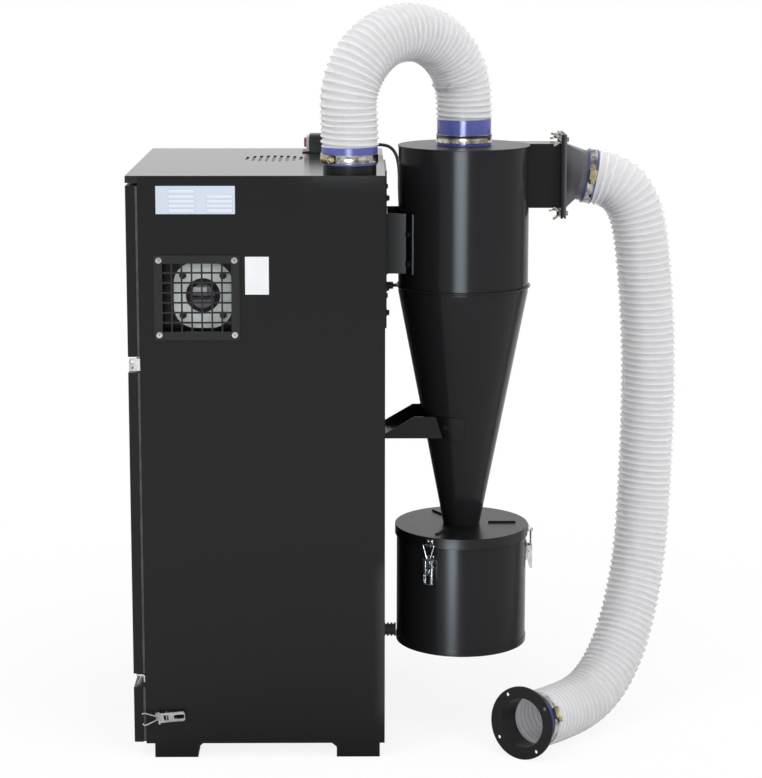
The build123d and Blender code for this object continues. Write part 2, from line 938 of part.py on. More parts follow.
def toggle_latch(at, keeper_rise):
    """A toggle latch on a plane: a base with ears and a lever, a wire bail and its keeper.

    The plane's x axis points at the keeper and its normal out of the surface.
    """
    half = latch_width / 2
    front = latch_length / 2
    thick = latch_plate
    seat = running_gap / 2
    lever_low = latch_lever_height
    lever_high = lever_low + thick
    ears_start = front - latch_ear_length
    base = slab(ears_start - latch_tail, front, -half, half, seat, seat + thick)
    ears = slab(ears_start, front, half - latch_ear, half, seat, lever_high)
    ears = ears + slab(ears_start, front, -half, latch_ear - half, seat, lever_high)
    lever = slab(-front, front, -half, half, lever_low, lever_high)
    slot = extrude(
        Pos(latch_slot_length / 2 - front + latch_slot_width, 0, lever_low - overrun)
        * SlotOverall(latch_slot_length, latch_slot_width),
        2 * overrun,
    )
    body = base + ears + (lever - slot)
    tip = front - bail_nose
    far = front + bail_reach
    wide = bail_width / 2
    narrow = half - latch_ear - running_gap
    tight = narrow * latch_tip_share
    outline = [(tip, -tight), (far, -wide), (far, wide), (tip, tight)]
    loop = make_face(Polyline(*outline, close=True))
    bail_low = lever_low - running_gap - bail_wire
    wire = loop - offset(loop, -bail_wire)
    clear = slab(ears_start, front + running_gap, narrow, wide, seat, lever_high)
    clear = clear + slab(ears_start, front + running_gap, -wide, -narrow, seat, lever_high)
    bail = extrude(Pos(0, 0, bail_low) * wire, bail_wire) - clear
    hook_x = far - bail_wire - running_gap - thick
    low = keeper_rise + seat
    side = keeper_width / 2
    keeper = slab(hook_x, hook_x + keeper_foot, -side, side, low, low + thick)
    keeper = keeper + slab(hook_x, hook_x + thick, -side, side, low, lever_high)
    lip_end = hook_x + bail_wire + thick
    keeper = keeper + slab(hook_x, lip_end, -side, side, lever_low, lever_high)
    return [at * piece for piece in (body, bail, keeper)]


def cabinet_latch():
    """The toggle latch that holds the bottom door."""
    at = Plane(
        origin=(
            x_door + cabinet_latch_front, y_near, bottom_door_base + cabinet_latch_rise
        ),
        x_dir=(-1, 0, 0), z_dir=(0, -1, 0),
    )
    return Compound(toggle_latch(at, 0))


def bin_latches():
    """The toggle latches that hang the bin on its lid."""
    pieces = []
    for spot in range(bin_latch_count):
        angle = math.radians(spot * 360 / bin_latch_count)
        out = Vector(math.cos(angle), math.sin(angle), 0)
        origin = Vector(axis_x, axis_y, lid_top - bin_latch_drop) + out * bin_radius
        at = Plane(origin=origin, x_dir=(0, 0, 1), z_dir=out)
        pieces += toggle_latch(at, lid_radius - bin_radius)
    return Compound(pieces)


def control_gland_plane():
    """Where the cable's gland sits on the end of the control unit."""
    return Plane(
        origin=(
            x_back - control_back, y_near + control_side, z_top + control_foot + gland_height
        ),
        x_dir=(0, 1, 0), z_dir=(1, 0, 0),
    )


def panel_gland_plane():
    """Where the cable's gland sits on the mounting plate."""
    return Plane(
        origin=(
            x_back + plate_thickness,
            axis_y + plate_half_width - panel_gland_inset,
            plate_base + panel_gland_rise,
        ),
        x_dir=(0, 1, 0), z_dir=(1, 0, 0),
    )


def control_unit():
    """The rounded control unit on its foot plate, with the gland of its cable."""
    end = x_back - control_back
    start = end - control_length
    middle = y_near + control_side
    half = control_width / 2
    top = z_top + control_height
    body = slab(start, end, middle - half, middle + half, z_top + control_foot, top)
    body = fillet(body.edges().filter_by(Axis.X).group_by(Axis.Z)[-1], control_round)
    foot_end = start - bezel_length - control_foot_overhang
    plate = slab(
        foot_end, end, middle - half, middle + half, z_top, z_top + control_foot
    )
    gland = extrude(control_gland_plane() * Circle(gland_radius), gland_length)
    return body + plate + gland


def control_bezel():
    """The pale frame at the end of the control unit."""
    end = x_back - control_back - control_length
    middle = y_near + control_side
    half = control_width / 2 - bezel_inset
    return slab(
        end - bezel_length, end, middle - half, middle + half,
        z_top + control_foot, z_top + control_height - bezel_inset,
    )


def control_rocker():
    """The red rocker on the frame."""
    end = x_back - control_back - control_length - bezel_length
    middle = y_near + control_side
    half = rocker_width / 2
    centre = z_top + (control_foot + control_height) / 2
    return slab(
        end - rocker_length, end, middle - half, middle + half,
        centre - rocker_height / 2, centre + rocker_height / 2,
    )


def panel_gland():
    """The gland on the mounting plate where the control cable ends."""
    return extrude(panel_gland_plane() * Circle(gland_radius), panel_gland_length)


def led(corners, start, end):
    """A cord's corners, moved along with the two places where its ends belong."""
    corners = [Vector(*corner) for corner in corners]
    travelled = [0]
    for before, after in zip(corners, corners[1:]):
        travelled.append(travelled[-1] + (after - before).length)
    moved = []
    for corner, run in zip(corners, travelled):
        share = run / travelled[-1]
        shift = (start - corners[0]) * (1 - share) + (end - corners[-1]) * share
        moved.append(corner + shift)
    return moved


def control_cable():
    """The control unit's cable, over the edge of the top and down behind the cyclone."""
    start = control_gland_plane().offset(gland_length).origin
    end = panel_gland_plane().offset(panel_gland_length).origin
    return tube_along(led(cable_corners, start, end), cable_radius, 0, "control_cable")


def inlet_hose():
    """The long free hose, from the inlet's cuff to the free flange's cuff."""
    start = stub_plane().offset(inlet_cuff_start + inlet_cuff_length + running_gap).origin
    end = free_plane().offset(-end_cuff_start - end_cuff_length - running_gap).origin
    route = led(hose_corners, start, end)
    return tube_along(route, hose_radius, hose_radius - hose_wall, "inlet_hose")


def free_plane():
    """The front face of the free flange, its normal pointing out of the hose."""
    turn = math.radians(free_flange_turn)
    lean = math.radians(free_flange_lean)
    stand = free_flange_radius * math.cos(lean) + free_flange_thickness * math.sin(lean)
    return Plane(
        origin=(x_back + free_flange_beside, y_near + free_flange_front, stand),
        x_dir=(math.cos(turn), -math.sin(turn), 0),
        z_dir=(
            -math.sin(turn) * math.cos(lean),
            -math.cos(turn) * math.cos(lean),
            math.sin(lean),
        ),
    )


def end_flange():
    """The bolted flange with its spigot, at the free end of the hose."""
    at = free_plane()
    disc = Circle(free_flange_radius) - Circle(spigot_radius - spigot_wall)
    holes = PolarLocations(free_bolt_circle_radius, free_hole_count, free_hole_turn)
    disc = disc - [spot * Circle(free_hole_radius) for spot in holes]
    flange = extrude(at * disc, -free_flange_thickness)
    spigot = ring_on(
        at, -free_flange_thickness, -free_spigot_length,
        spigot_radius, spigot_radius - spigot_wall,
    )
    return flange + spigot


def end_cuff():
    """The soft cuff on the free flange's spigot."""
    return ring_on(free_plane(), -end_cuff_start, -end_cuff_length, cuff_outer, cuff_inner)


def end_clamp():
    """The clamp band round the cuff at the free end."""
    return ring_on(free_plane(), -end_clamp_start, -clamp_width, clamp_outer, clamp_inner)


def upper_door():
    """The short door at the top."""
    return door(upper_door_base, upper_door_height)


def lower_door():
    """The tall door in the middle."""
    return door(lower_door_base, lower_door_height)


def bottom_door():
    """The small door of the drawer space at the bottom."""
    return door(bottom_door_base, bottom_door_height)


makers = [
    right_side_panel, left_side_panel, back_panel, front_panel, base_plate, top_cover,
    upper_door, lower_door, bottom_door, door_seals, upper_catch, lower_catch,
    cabinet_latch, front_foot, rear_foot, fan_guard, fan_recess, blower_face, blower_motor,
    cabinet_spigot, control_unit, control_bezel, control_rocker, control_cable, panel_gland,
    mounting_plate, upper_bracket, lower_bracket, bin_buffer,
    cyclone_barrel, cyclone_top, outlet_tube, seam_ring, cyclone_cone, dust_outlet,
    inlet_duct, flange_gasket, inlet_transition,
    arch_hose, arch_cuffs, arch_clamps,
    inlet_hose, inlet_cuff, inlet_clamp, end_cuff, end_clamp, end_flange,
    bin_body, bin_lid, bin_latches,
]

os.makedirs("parts", exist_ok=True)
for make in makers:
    export_step(make(), f"parts/{make.__name__}.step")
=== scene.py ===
"""The dressed model of a cyclone separator that is bracketed to its filter cabinet.

Everything is in metres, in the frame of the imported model: X runs from the cabinet's doors to
the cyclone, Y from the fan side to the far side, and Z up from the floor.
"""

import json
import logging
import math
from dataclasses import dataclass
from enum import Enum

import bmesh
import bpy
from bpy.types import Material, Mesh, Node, NodeSocket, NodeTree, Object
from mathutils import Matrix, Vector

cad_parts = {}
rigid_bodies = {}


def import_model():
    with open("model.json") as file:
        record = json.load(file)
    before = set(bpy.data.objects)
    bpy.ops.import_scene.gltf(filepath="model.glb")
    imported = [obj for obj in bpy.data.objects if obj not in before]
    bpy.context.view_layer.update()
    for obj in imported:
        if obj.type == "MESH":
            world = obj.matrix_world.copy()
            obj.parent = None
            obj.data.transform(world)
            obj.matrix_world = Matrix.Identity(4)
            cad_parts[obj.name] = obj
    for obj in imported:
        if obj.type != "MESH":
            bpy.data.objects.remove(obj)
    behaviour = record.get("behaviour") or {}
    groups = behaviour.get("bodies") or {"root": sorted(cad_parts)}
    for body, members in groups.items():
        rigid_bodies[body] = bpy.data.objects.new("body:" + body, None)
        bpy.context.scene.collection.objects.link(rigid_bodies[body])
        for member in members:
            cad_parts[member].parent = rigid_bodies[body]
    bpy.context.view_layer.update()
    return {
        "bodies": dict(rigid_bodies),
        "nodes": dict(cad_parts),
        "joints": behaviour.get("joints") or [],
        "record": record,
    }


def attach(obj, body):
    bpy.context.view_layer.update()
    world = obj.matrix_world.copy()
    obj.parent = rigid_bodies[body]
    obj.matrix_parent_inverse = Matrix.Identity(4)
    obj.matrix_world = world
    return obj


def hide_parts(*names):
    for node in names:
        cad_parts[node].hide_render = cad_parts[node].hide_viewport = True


log = logging.getLogger("scene")

MM = 0.001
BODY = "root"
Pair = tuple[float, float]
Point = tuple[float, float, float]

HERE = Matrix.Identity(4)
# An outline's plane stood up along x, its thickness towards -y, and stood up across x.
UPRIGHT = Matrix(((1, 0, 0, 0), (0, 0, -1, 0), (0, 1, 0, 0), (0, 0, 0, 1)))
ACROSS = Matrix(((0, 0, 1, 0), (1, 0, 0, 0), (0, 1, 0, 0), (0, 0, 0, 1)))
# Where the inlet's round end starts, and the degrees that it droops.
INLET_END: Point = (0.315, 0.02925, 0.8175)
INLET_DROOP = 9.4


class Slot(Enum):
    """The record's material slots."""

    BLACK_PAINT = "black_paint"
    BLACK_PLASTIC = "black_plastic"
    DARK_RUBBER = "dark_rubber"
    CLEAR_HOSE = "clear_hose"
    SOFT_CUFF = "soft_cuff"
    ZINC_BAND = "zinc_band"
    CHROME = "chrome"
    FOOT_PAINT = "zinc_foot"
    PALE_PLATE = "pale_plate"
    MOTOR_STEEL = "motor_steel"
    PALE_PLASTIC = "pale_plastic"
    RED_PLASTIC = "red_plastic"


# Small tools


def mm(*points: tuple[float, ...]) -> list[tuple[float, ...]]:
    """Turns points in millimetres into metres."""
    return [tuple(value * MM for value in point) for point in points]


def at(x: float, y: float, z: float) -> Matrix:
    """A place that is shifted and not turned."""
    return Matrix.Translation((x, y, z))


def polar(radius: float, angle: float, height: float = 0.0) -> Vector:
    """A point at a radius, an angle in radians and a height."""
    return Vector((radius * math.cos(angle), radius * math.sin(angle), height))


def axes_to(origin: Vector, x: Vector, z: Vector) -> Matrix:
    """A place whose local x and z point as given."""
    z = z.normalized()
    y = z.cross(x).normalized()
    x = y.cross(z).normalized()
    return Matrix.Translation(origin) @ Matrix((x, y, z)).transposed().to_4x4()


def linear(code: str) -> tuple[float, float, float, float]:
    """Turns an sRGB hex value into a linear colour.

    Args:
        code: A hash and six hex digits.

    Returns:
        Red, green, blue and an alpha of one.
    """
    parts = [int(code[i : i + 2], 16) / 255 for i in (1, 3, 5)]
    bent = [c / 12.92 if c <= 0.04045 else ((c + 0.055) / 1.055) ** 2.4 for c in parts]
    return (*bent, 1.0)


def add_node(
    tree: NodeTree, kind: str, values: dict | None = None, **settings: object
) -> Node:
    """Adds a node and sets or links its inputs.

    Args:
        tree: The tree that gets the node.
        kind: The node's type.
        values: Input names or numbers with a value, or with a socket to link from.
        settings: Properties of the node itself.

    Returns:
        The new node.
    """
    node = tree.nodes.new(kind)
    for name, value in settings.items():
        setattr(node, name, value)
    for key, value in (values or {}).items():
        if isinstance(value, NodeSocket):
            tree.links.new(value, node.inputs[key])
        else:
            node.inputs[key].default_value = value
    return node


def compute(tree: NodeTree, operation: str, *given: object) -> NodeSocket:
    """Adds a sum on numbers or sockets and returns its result."""
    return add_node(tree, "ShaderNodeMath", dict(enumerate(given)), operation=operation).outputs[0]


def ranged(
    tree: NodeTree, value: NodeSocket, span: Pair, to: Pair = (0.0, 1.0), curve: str = "LINEAR"
) -> NodeSocket:
    """Adds a node that maps one range onto another and returns its result."""
    values = {"Value": value, "From Min": span[0], "From Max": span[1], "To Min": to[0]}
    values["To Max"] = to[1]
    return add_node(tree, "ShaderNodeMapRange", values, interpolation_type=curve).outputs[0]


def evaluated_mesh(obj: Object, name: str) -> Mesh:
    """Gives the mesh that an object shows with its modifiers."""
    graph = bpy.context.evaluated_depsgraph_get()
    graph.update()
    mesh = bpy.data.meshes.new_from_object(obj.evaluated_get(graph))
    mesh.name = name
    return mesh


def link(name: str, data: bpy.types.ID) -> Object:
    """Puts a mesh, curve, lamp or camera into the scene as an object at the origin."""
    obj = bpy.data.objects.new(name, data)
    bpy.context.scene.collection.objects.link(obj)
    return obj


def link_bmesh(name: str, bm: bmesh.types.BMesh) -> Object:
    """Puts a bmesh into the scene as it is, and frees it."""
    mesh = bpy.data.meshes.new(name)
    bm.to_mesh(mesh)
    bm.free()
    return link(name, mesh)


def discard(obj: Object) -> None:
    """Removes a helper object."""
    bpy.data.objects.remove(obj, do_unlink=True)


def joined(name: str, parts: list[Object]) -> Object:
    """Joins mesh objects at the origin into one."""
    bm = bmesh.new()
    for part in parts:
        bm.from_mesh(part.data)
        discard(part)
    return link_bmesh(name, bm)


def sharpen(obj: Object, degrees: float = 35.0) -> None:
    """Shades an object smoothly but for its edges over an angle."""
    bm = bmesh.new()
    bm.from_mesh(obj.data)
    for face in bm.faces:
        face.smooth = True
    limit = math.radians(degrees)
    for edge in bm.edges:
        edge.smooth = len(edge.link_faces) == 2 and edge.calc_face_angle(0.0) < limit
    bm.to_mesh(obj.data)
    bm.free()


def applied(obj: Object, kind: str, **settings: object) -> None:
    """Runs one modifier on an object for good."""
    modifier = obj.modifiers.new(kind.lower(), kind)
    for name, value in settings.items():
        setattr(modifier, name, value)
    mesh = evaluated_mesh(obj, obj.data.name)
    obj.modifiers.clear()
    obj.data = mesh


def bevel(obj: Object, width: float, segments: int = 2, degrees: float = 40.0) -> None:
    """Rounds an object's sharp edges and leans its normals to the larger faces.

    Args:
        obj: The object, whose mesh is replaced.
        width: The bevel's width.
        segments: How many faces each rounded edge gets.
        degrees: The angle from which an edge is rounded.
    """
    applied(
        obj, "BEVEL", width=width, segments=segments, limit_method="ANGLE",
        angle_limit=math.radians(degrees), use_clamp_overlap=True, harden_normals=False,
    )
    sharpen(obj, 50.0)
    applied(obj, "WEIGHTED_NORMAL", mode="FACE_AREA", weight=50, keep_sharp=True)


class Shape:
    """A mesh in the making. What adds to it gives it back, so that calls can follow on."""

    def __init__(self, name: str) -> None:
        """Starts an empty mesh under the name of its object to be."""
        self.name = name
        self.bm = bmesh.new()

    def skin(self, loops: list[list[Vector]], closed: bool = True) -> "Shape":
        """Adds quads from loop to loop, each with the same number of points.

        Args:
            loops: The loops in order.
            closed: Whether the last one joins the first. If not, both get a cap.

        Returns:
            The shape.
        """
        made = [[self.bm.verts.new(spot) for spot in loop] for loop in loops]
        pairs = list(zip(made, made[1:]))
        if closed:
            pairs.append((made[-1], made[0]))
        else:
            self.bm.faces.new(made[0])
            self.bm.faces.new(made[-1][::-1])
        for first, second in pairs:
            for index in range(len(first)):
                after = (index + 1) % len(first)
                self.bm.faces.new((first[index], first[after], second[after], second[index]))
        return self

    def lathe(self, profile: list[Pair], place: Matrix = HERE, sides: int = 24) -> "Shape":
        """Adds a closed turned shape.

        Args:
            profile: Radius and height pairs round a closed outline.
            place: Where its axis stands.
            sides: How many steps the turn has.

        Returns:
            The shape.
        """
        rings = []
        for radius, height in profile:
            turns = range(sides if radius else 1)
            spots = [polar(radius, 2 * math.pi * step / sides, height) for step in turns]
            rings.append([self.bm.verts.new(place @ spot) for spot in spots])
        pairs = list(zip(rings, rings[1:]))
        if len(rings[0]) > 1 and len(rings[-1]) > 1:
            pairs.append((rings[-1], rings[0]))
        for low, high in pairs:
            for step in range(sides):
                corners = [low[i % sides % len(low)] for i in (step, step + 1)]
                corners += [high[i % sides % len(high)] for i in (step + 1, step)]
                corners = list(dict.fromkeys(corners))
                if len(corners) > 2:
                    self.bm.faces.new(corners)
        return self

    def block(self, low: Point, high: Point, place: Matrix = HERE) -> "Shape":
        """Adds a box between two local corners."""
        low, high = Vector(low), Vector(high)
        made = place @ Matrix.Translation((high + low) / 2) @ Matrix.Diagonal((*(high - low), 1.0))
        bmesh.ops.create_cube(self.bm, size=1.0, matrix=made)
        return self

    def plate(self, points: list[Pair], thick: float, place: Matrix = HERE) -> "Shape":
        """Adds a plate cut to an outline, its thickness along the local z axis."""
        loops = [[place @ Vector((x, y, z)) for x, y in points] for z in (0.0, thick)]
        return self.skin(loops, closed=False)

    def ring(self, outer: list[Pair], inner: list[Pair], thick: float, place: Matrix) -> "Shape":
        """Adds a plate with one hole; its two outlines have the same number of points."""
        levels = ((outer, 0.0), (outer, thick), (inner, thick), (inner, 0.0))
        return self.skin([[place @ Vector((x, y, z)) for x, y in line] for line, z in levels])

    def done(self, smooth: bool = True) -> Object:
        """Closes the mesh into a new object with outward normals."""
        bmesh.ops.remove_doubles(self.bm, verts=self.bm.verts, dist=1e-6)
        bmesh.ops.recalc_face_normals(self.bm, faces=self.bm.faces)
        for face in self.bm.faces:
            face.smooth = smooth
        return link_bmesh(self.name, self.bm)

    def sharp(self, degrees: float) -> Object:
        """Closes it, smooth but for its edges over an angle."""
        obj = self.done()
        sharpen(obj, degrees)
        return obj

    def rounded(self, width: float, segments: int = 2, degrees: float = 40.0) -> Object:
        """Closes it and rounds its sharp edges."""
        obj = self.done()
        bevel(obj, width, segments, degrees)
        return obj


def rounded_box(x: float, half_x: float, half_y: float, power: float) -> list[Pair]:
    """Points of a rounded box round a place on the x axis; a low power squares it."""
    points = []
    for step in range(24):
        angle = 2 * math.pi * (step + 0.5) / 24
        c, s = math.cos(angle), math.sin(angle)
        across = half_x * math.copysign(abs(c) ** power, c)
        points.append((x + across, half_y * math.copysign(abs(s) ** power, s)))
    return points


def smooth_line(
    name: str, route: list[Point], steps: int, radius: float = 0.0, sides: int = 0,
    closed: bool = False,
) -> Object:
    """Lays a smooth curve whose control points are a route's.

    Args:
        name: The curve's name.
        route: The control points.
        steps: How many points it gets for each of them.
        radius: Its radius, or none for a bare line.
        sides: How finely its round is stepped.
        closed: Whether it runs back to its start.

    Returns:
        A curve object.
    """
    curve = bpy.data.curves.new(name, "CURVE")
    curve.dimensions = "3D"
    curve.bevel_depth = radius
    curve.bevel_resolution = sides
    curve.resolution_u = steps
    curve.use_fill_caps = radius > 0
    spline = curve.splines.new("NURBS")
    spline.points.add(len(route) - 1)
    for spot, place in zip(spline.points, route):
        spot.co = (*place, 1.0)
    spline.order_u = 3
    spline.use_endpoint_u = not closed
    spline.use_cyclic_u = closed
    spline.use_smooth = True
    return link(name, curve)


def line_points(name: str, route: list[Point]) -> list[Vector]:
    """Reads the points of the smooth line along a route."""
    helper = smooth_line(name, route, 12)
    mesh = evaluated_mesh(helper, name)
    points = [vertex.co.copy() for vertex in mesh.vertices]
    discard(helper)
    bpy.data.meshes.remove(mesh)
    return points


def wire(name: str, points: list[Vector], radius: float, closed: bool = False) -> Object:
    """Makes a bent round wire as a mesh object."""
    helper = smooth_line(name + "_line", points, 6, radius, 3, closed)
    mesh = evaluated_mesh(helper, name)
    discard(helper)
    shape = Shape(name)
    shape.bm.from_mesh(mesh)
    bpy.data.meshes.remove(mesh)
    return shape.done()


# Finishes


@dataclass(frozen=True)
class Finish:
    """A surface: its colour, sheen and the fine relief that its making leaves."""

    name: str
    colour: str
    roughness: float
    metallic: float = 0.0
    ior: float = 1.5
    grain_mm: float = 1.5
    relief_mm: float = 0.0
    uneven: float = 0.0
    tint: str = ""
    transmission: float = 0.0
    specular: float = 0.5
    bleed_mm: float = 0.0

    def material(self) -> Material:
        """Builds the material once and returns it."""
        known = bpy.data.materials.get(self.name)
        if known:
            return known
        material = bpy.data.materials.new(self.name)
        material.use_nodes = True
        material.diffuse_color = linear(self.colour)
        tree = material.node_tree
        tree.nodes.clear()
        values = {
            "Base Color": linear(self.colour),
            "Metallic": self.metallic,
            "Roughness": self.roughness,
            "IOR": self.ior,
            "Specular IOR Level": self.specular,
            "Transmission Weight": self.transmission,
            "Subsurface Weight": 1.0 if self.bleed_mm else 0.0,
            "Subsurface Radius": (1.0, 1.0, 1.0),
            "Subsurface Scale": self.bleed_mm * MM,
        }
        shader = add_node(tree, "ShaderNodeBsdfPrincipled", values)
        add_node(tree, "ShaderNodeOutputMaterial", {"Surface": shader.outputs[0]})
        self.texture(tree, shader)
        return material

    def texture(self, tree: NodeTree, shader: Node) -> None:
        """Adds the grain's relief and, thirty times as coarse, a cloud for sheen and tint."""
        spot = add_node(tree, "ShaderNodeTexCoord").outputs["Object"]
        scale = 1.0 / (self.grain_mm * MM)
        if self.relief_mm:
            values = {"Vector": spot, "Scale": scale, "Detail": 2.0}
            grain = add_node(tree, "ShaderNodeTexNoise", values).outputs["Fac"]
            values = {"Height": grain, "Distance": self.relief_mm * MM, "Strength": 1.0}
            bump = add_node(tree, "ShaderNodeBump", values)
            tree.links.new(bump.outputs[0], shader.inputs["Normal"])
        values = {"Vector": spot, "Scale": scale / 30, "Detail": 3.0}
        cloud = add_node(tree, "ShaderNodeTexNoise", values).outputs["Fac"]
        if self.uneven:
            to = (self.roughness - self.uneven, self.roughness + self.uneven)
            tree.links.new(ranged(tree, cloud, (0.3, 0.7), to), shader.inputs["Roughness"])
        if self.tint:
            share = ranged(tree, cloud, (0.35, 0.65))
            values = {0: share, 6: linear(self.colour), 7: linear(self.tint)}
            mix = add_node(tree, "ShaderNodeMix", values, data_type="RGBA")
            tree.links.new(mix.outputs[2], shader.inputs["Base Color"])


# Polyester powder coat on sheet steel: near black, a soft orange peel, a low even gloss.
POWDER_COAT = Finish(
    "powder_coated_sheet_steel", "#101011", 0.3, grain_mm=3.0, relief_mm=0.004, specular=0.3
)
# The same coat on the top sheet, which lay flat in the oven and came out smoother; its base colour
# is also lighter than the side sheets' as painted sheen, to lift the top's bright grazing look.
TOP_COAT = Finish(
    "powder_coated_top_sheet", "#18181a", 0.18, grain_mm=4.0, relief_mm=0.003, specular=0.4
)
# Baked enamel on rolled steel: deep black and glossy, so lamps draw long streaks on it.
BAKED_ENAMEL = Finish(
    "baked_enamel_on_rolled_steel", "#202022", 0.18, grain_mm=4.0, relief_mm=0.004, specular=0.14
)
# Enamel on the flat lids: thinner and duller than on the rolled skins; its darker base colour is
# painted shade that holds down the lids' bright reflection of the backdrop.
LID_ENAMEL = Finish(
    "satin_enamel_on_pressed_lids", "#161617", 0.32, grain_mm=3.0, relief_mm=0.006, specular=0.27
)
# Satin enamel of the inlet fitting, greyer than the other enamel: the lift in its base colour is
# painted reflection, standing in for the pale sheen along the fitting.
FITTING_ENAMEL = Finish(
    "satin_enamel_on_inlet_fitting", "#55555a", 0.32, grain_mm=3.0, relief_mm=0.006, specular=0.5
)
# Moulded black ABS: dull, with a fine spark-eroded grain.
BLACK_ABS = Finish(
    "moulded_black_abs", "#131315", 0.38, grain_mm=0.5, relief_mm=0.03, uneven=0.06
)
# EPDM strip: dull dark grey, faintly dusty.
EPDM = Finish("extruded_epdm_rubber", "#3a3b3d", 0.7, grain_mm=0.6, relief_mm=0.03, tint="#4a4b4e")
# Zinc-plated band steel: bright and warm, clouded grey where the plating has dulled.
ZINC_BAND = Finish(
    "zinc_plated_band_steel", "#cfccc5", 0.16, metallic=1.0, grain_mm=0.3, relief_mm=0.006,
    uneven=0.05, tint="#726e68",
)
# Yellow-passivated worm housings: zinc with a straw tint.
YELLOW_ZINC = Finish(
    "yellow_passivated_zinc", "#dccfa4", 0.22, metallic=1.0, grain_mm=0.8, uneven=0.07,
    tint="#8f8a72",
)
# Nickel-plated pressings: brighter and cooler than zinc.
NICKEL = Finish(
    "nickel_plated_pressed_steel", "#ebebec", 0.2, metallic=1.0, grain_mm=0.7, relief_mm=0.006,
    uneven=0.05, tint="#b4b6b8",
)
# Flexible PVC duct film: milky, with light that bleeds through it and a soft gloss.
CLEAR_PVC = Finish(
    "milky_plasticised_pvc", "#e6e6ec", 0.22, ior=1.46, grain_mm=9.0, uneven=0.04, tint="#e4e3e7",
    bleed_mm=5.0,
)
# The rigid PVC helix welded into the duct's wall: whiter and glossier than the film.
HELIX_PVC = Finish(
    "rigid_pvc_helix", "#f0f0f4", 0.14, ior=1.5, grain_mm=9.0, uneven=0.04, tint="#ecebef",
    bleed_mm=5.0,
)
# Soft PVC cuff dyed blue-violet: see-through enough to glow at its edges.
BLUE_PVC = Finish(
    "blue_plasticised_pvc", "#6069b8", 0.15, ior=1.46, grain_mm=3.0, relief_mm=0.02, uneven=0.05,
    transmission=0.25, tint="#535bab",
)
# Cast aluminium, fettled: satin, its base colour lifted from pale grey to near white as painted
# light that offsets the shade in the guard's recess.
CAST_ALUMINIUM = Finish(
    "fettled_cast_aluminium", "#f0f7f5", 0.42, grain_mm=0.8, relief_mm=0.02, uneven=0.05,
    tint="#dbe2e0",
)
# Enamelled windings and steel laminations of the motor: grey with a violet cast.
WINDINGS = Finish(
    "enamelled_motor_windings", "#7b7a84", 0.35, metallic=0.4, grain_mm=1.0, relief_mm=0.05,
    tint="#5d5c66",
)
# Moulded pale ABS of the switch frame.
PALE_ABS = Finish("moulded_pale_abs", "#b9bcbc", 0.4, grain_mm=0.6, relief_mm=0.01, uneven=0.05)
# Glossy red polycarbonate of the rocker.
RED_PC = Finish("moulded_red_polycarbonate", "#a3222c", 0.18, ior=1.58, grain_mm=2.0, uneven=0.03)
# Coated polyester plate in pale blue.
PLATE_FOIL = Finish(
    "coated_polyester_foil", "#c6cfdd", 0.35, grain_mm=3.0, uneven=0.04, tint="#c1cad9"
)
# The printed outline of its empty fields.
FIELD_LINE = Finish("printed_field_outline", "#9fabbe", 0.4, grain_mm=2.0, uneven=0.04)
# The fields themselves, left white and empty.
FIELD_WHITE = Finish("unprinted_field_foil", "#d3dae5", 0.35, grain_mm=3.0, uneven=0.04)
# Coated white foil, bare.
WHITE_FOIL = Finish("coated_white_foil", "#e4e6e8", 0.4, grain_mm=3.0, uneven=0.04, tint="#dcdfe2")
# Flexible cable sheath: black PVC with a soft shine.
CABLE_PVC = Finish("extruded_black_pvc", "#202022", 0.36, grain_mm=1.0, relief_mm=0.01, uneven=0.05)


def dress(obj: Object, finish: Finish, slot: Slot, *replaced: str) -> Object:
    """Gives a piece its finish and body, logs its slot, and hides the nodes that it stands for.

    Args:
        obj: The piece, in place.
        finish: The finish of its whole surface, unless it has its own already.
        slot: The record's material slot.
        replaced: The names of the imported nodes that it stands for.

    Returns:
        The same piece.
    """
    if not obj.data.materials:
        obj.data.materials.append(finish.material())
    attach(obj, BODY)
    if replaced:
        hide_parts(*replaced)
    log.info("%s: %s, %d faces", obj.name, slot.value, len(getattr(obj.data, "polygons", ())))
    return obj


# Geometry trees


class Tree:
    """A geometry tree with named inputs."""

    def __init__(self, name: str, inputs: list[tuple[str, str, object]]) -> None:
        """Starts the tree.

        Args:
            name: The tree's name.
            inputs: Name, socket type and default of each input after the geometry.
        """
        self.tree = bpy.data.node_groups.new(name, "GeometryNodeTree")
        face = self.tree.interface
        face.new_socket("Geometry", in_out="INPUT", socket_type="NodeSocketGeometry")
        face.new_socket("Geometry", in_out="OUTPUT", socket_type="NodeSocketGeometry")
        self.known = {}
        for label, kind, default in inputs:
            socket = face.new_socket(label, in_out="INPUT", socket_type=kind)
            if default is not None:
                socket.default_value = default
            self.known[label] = socket.identifier
        self.given = self.tree.nodes.new("NodeGroupInput").outputs

    def step(self, kind: str, values: dict | None = None, **settings: object) -> NodeSocket:
        """Adds a geometry node and returns its first result."""
        return add_node(self.tree, "GeometryNode" + kind, values, **settings).outputs[0]

    def close(self, geometry: NodeSocket) -> None:
        """Ends the tree."""
        add_node(self.tree, "NodeGroupOutput", {0: geometry})

    def apply(self, name: str, source: Mesh, values: dict) -> Object:
        """Runs the tree on a mesh and keeps the result as a plain mesh object.

        Args:
            name: The new object's name.
            source: The mesh that the tree reads.
            values: The values of its inputs by name.

        Returns:
            The finished object.
        """
        helper = link(name + "_seed", source)
        modifier = helper.modifiers.new("tree", "NODES")
        modifier.node_group = self.tree
        for label, value in values.items():
            modifier[self.known[label]] = value
        mesh = evaluated_mesh(helper, name)
        helper.modifiers.clear()
        discard(helper)
        return link(name, mesh)


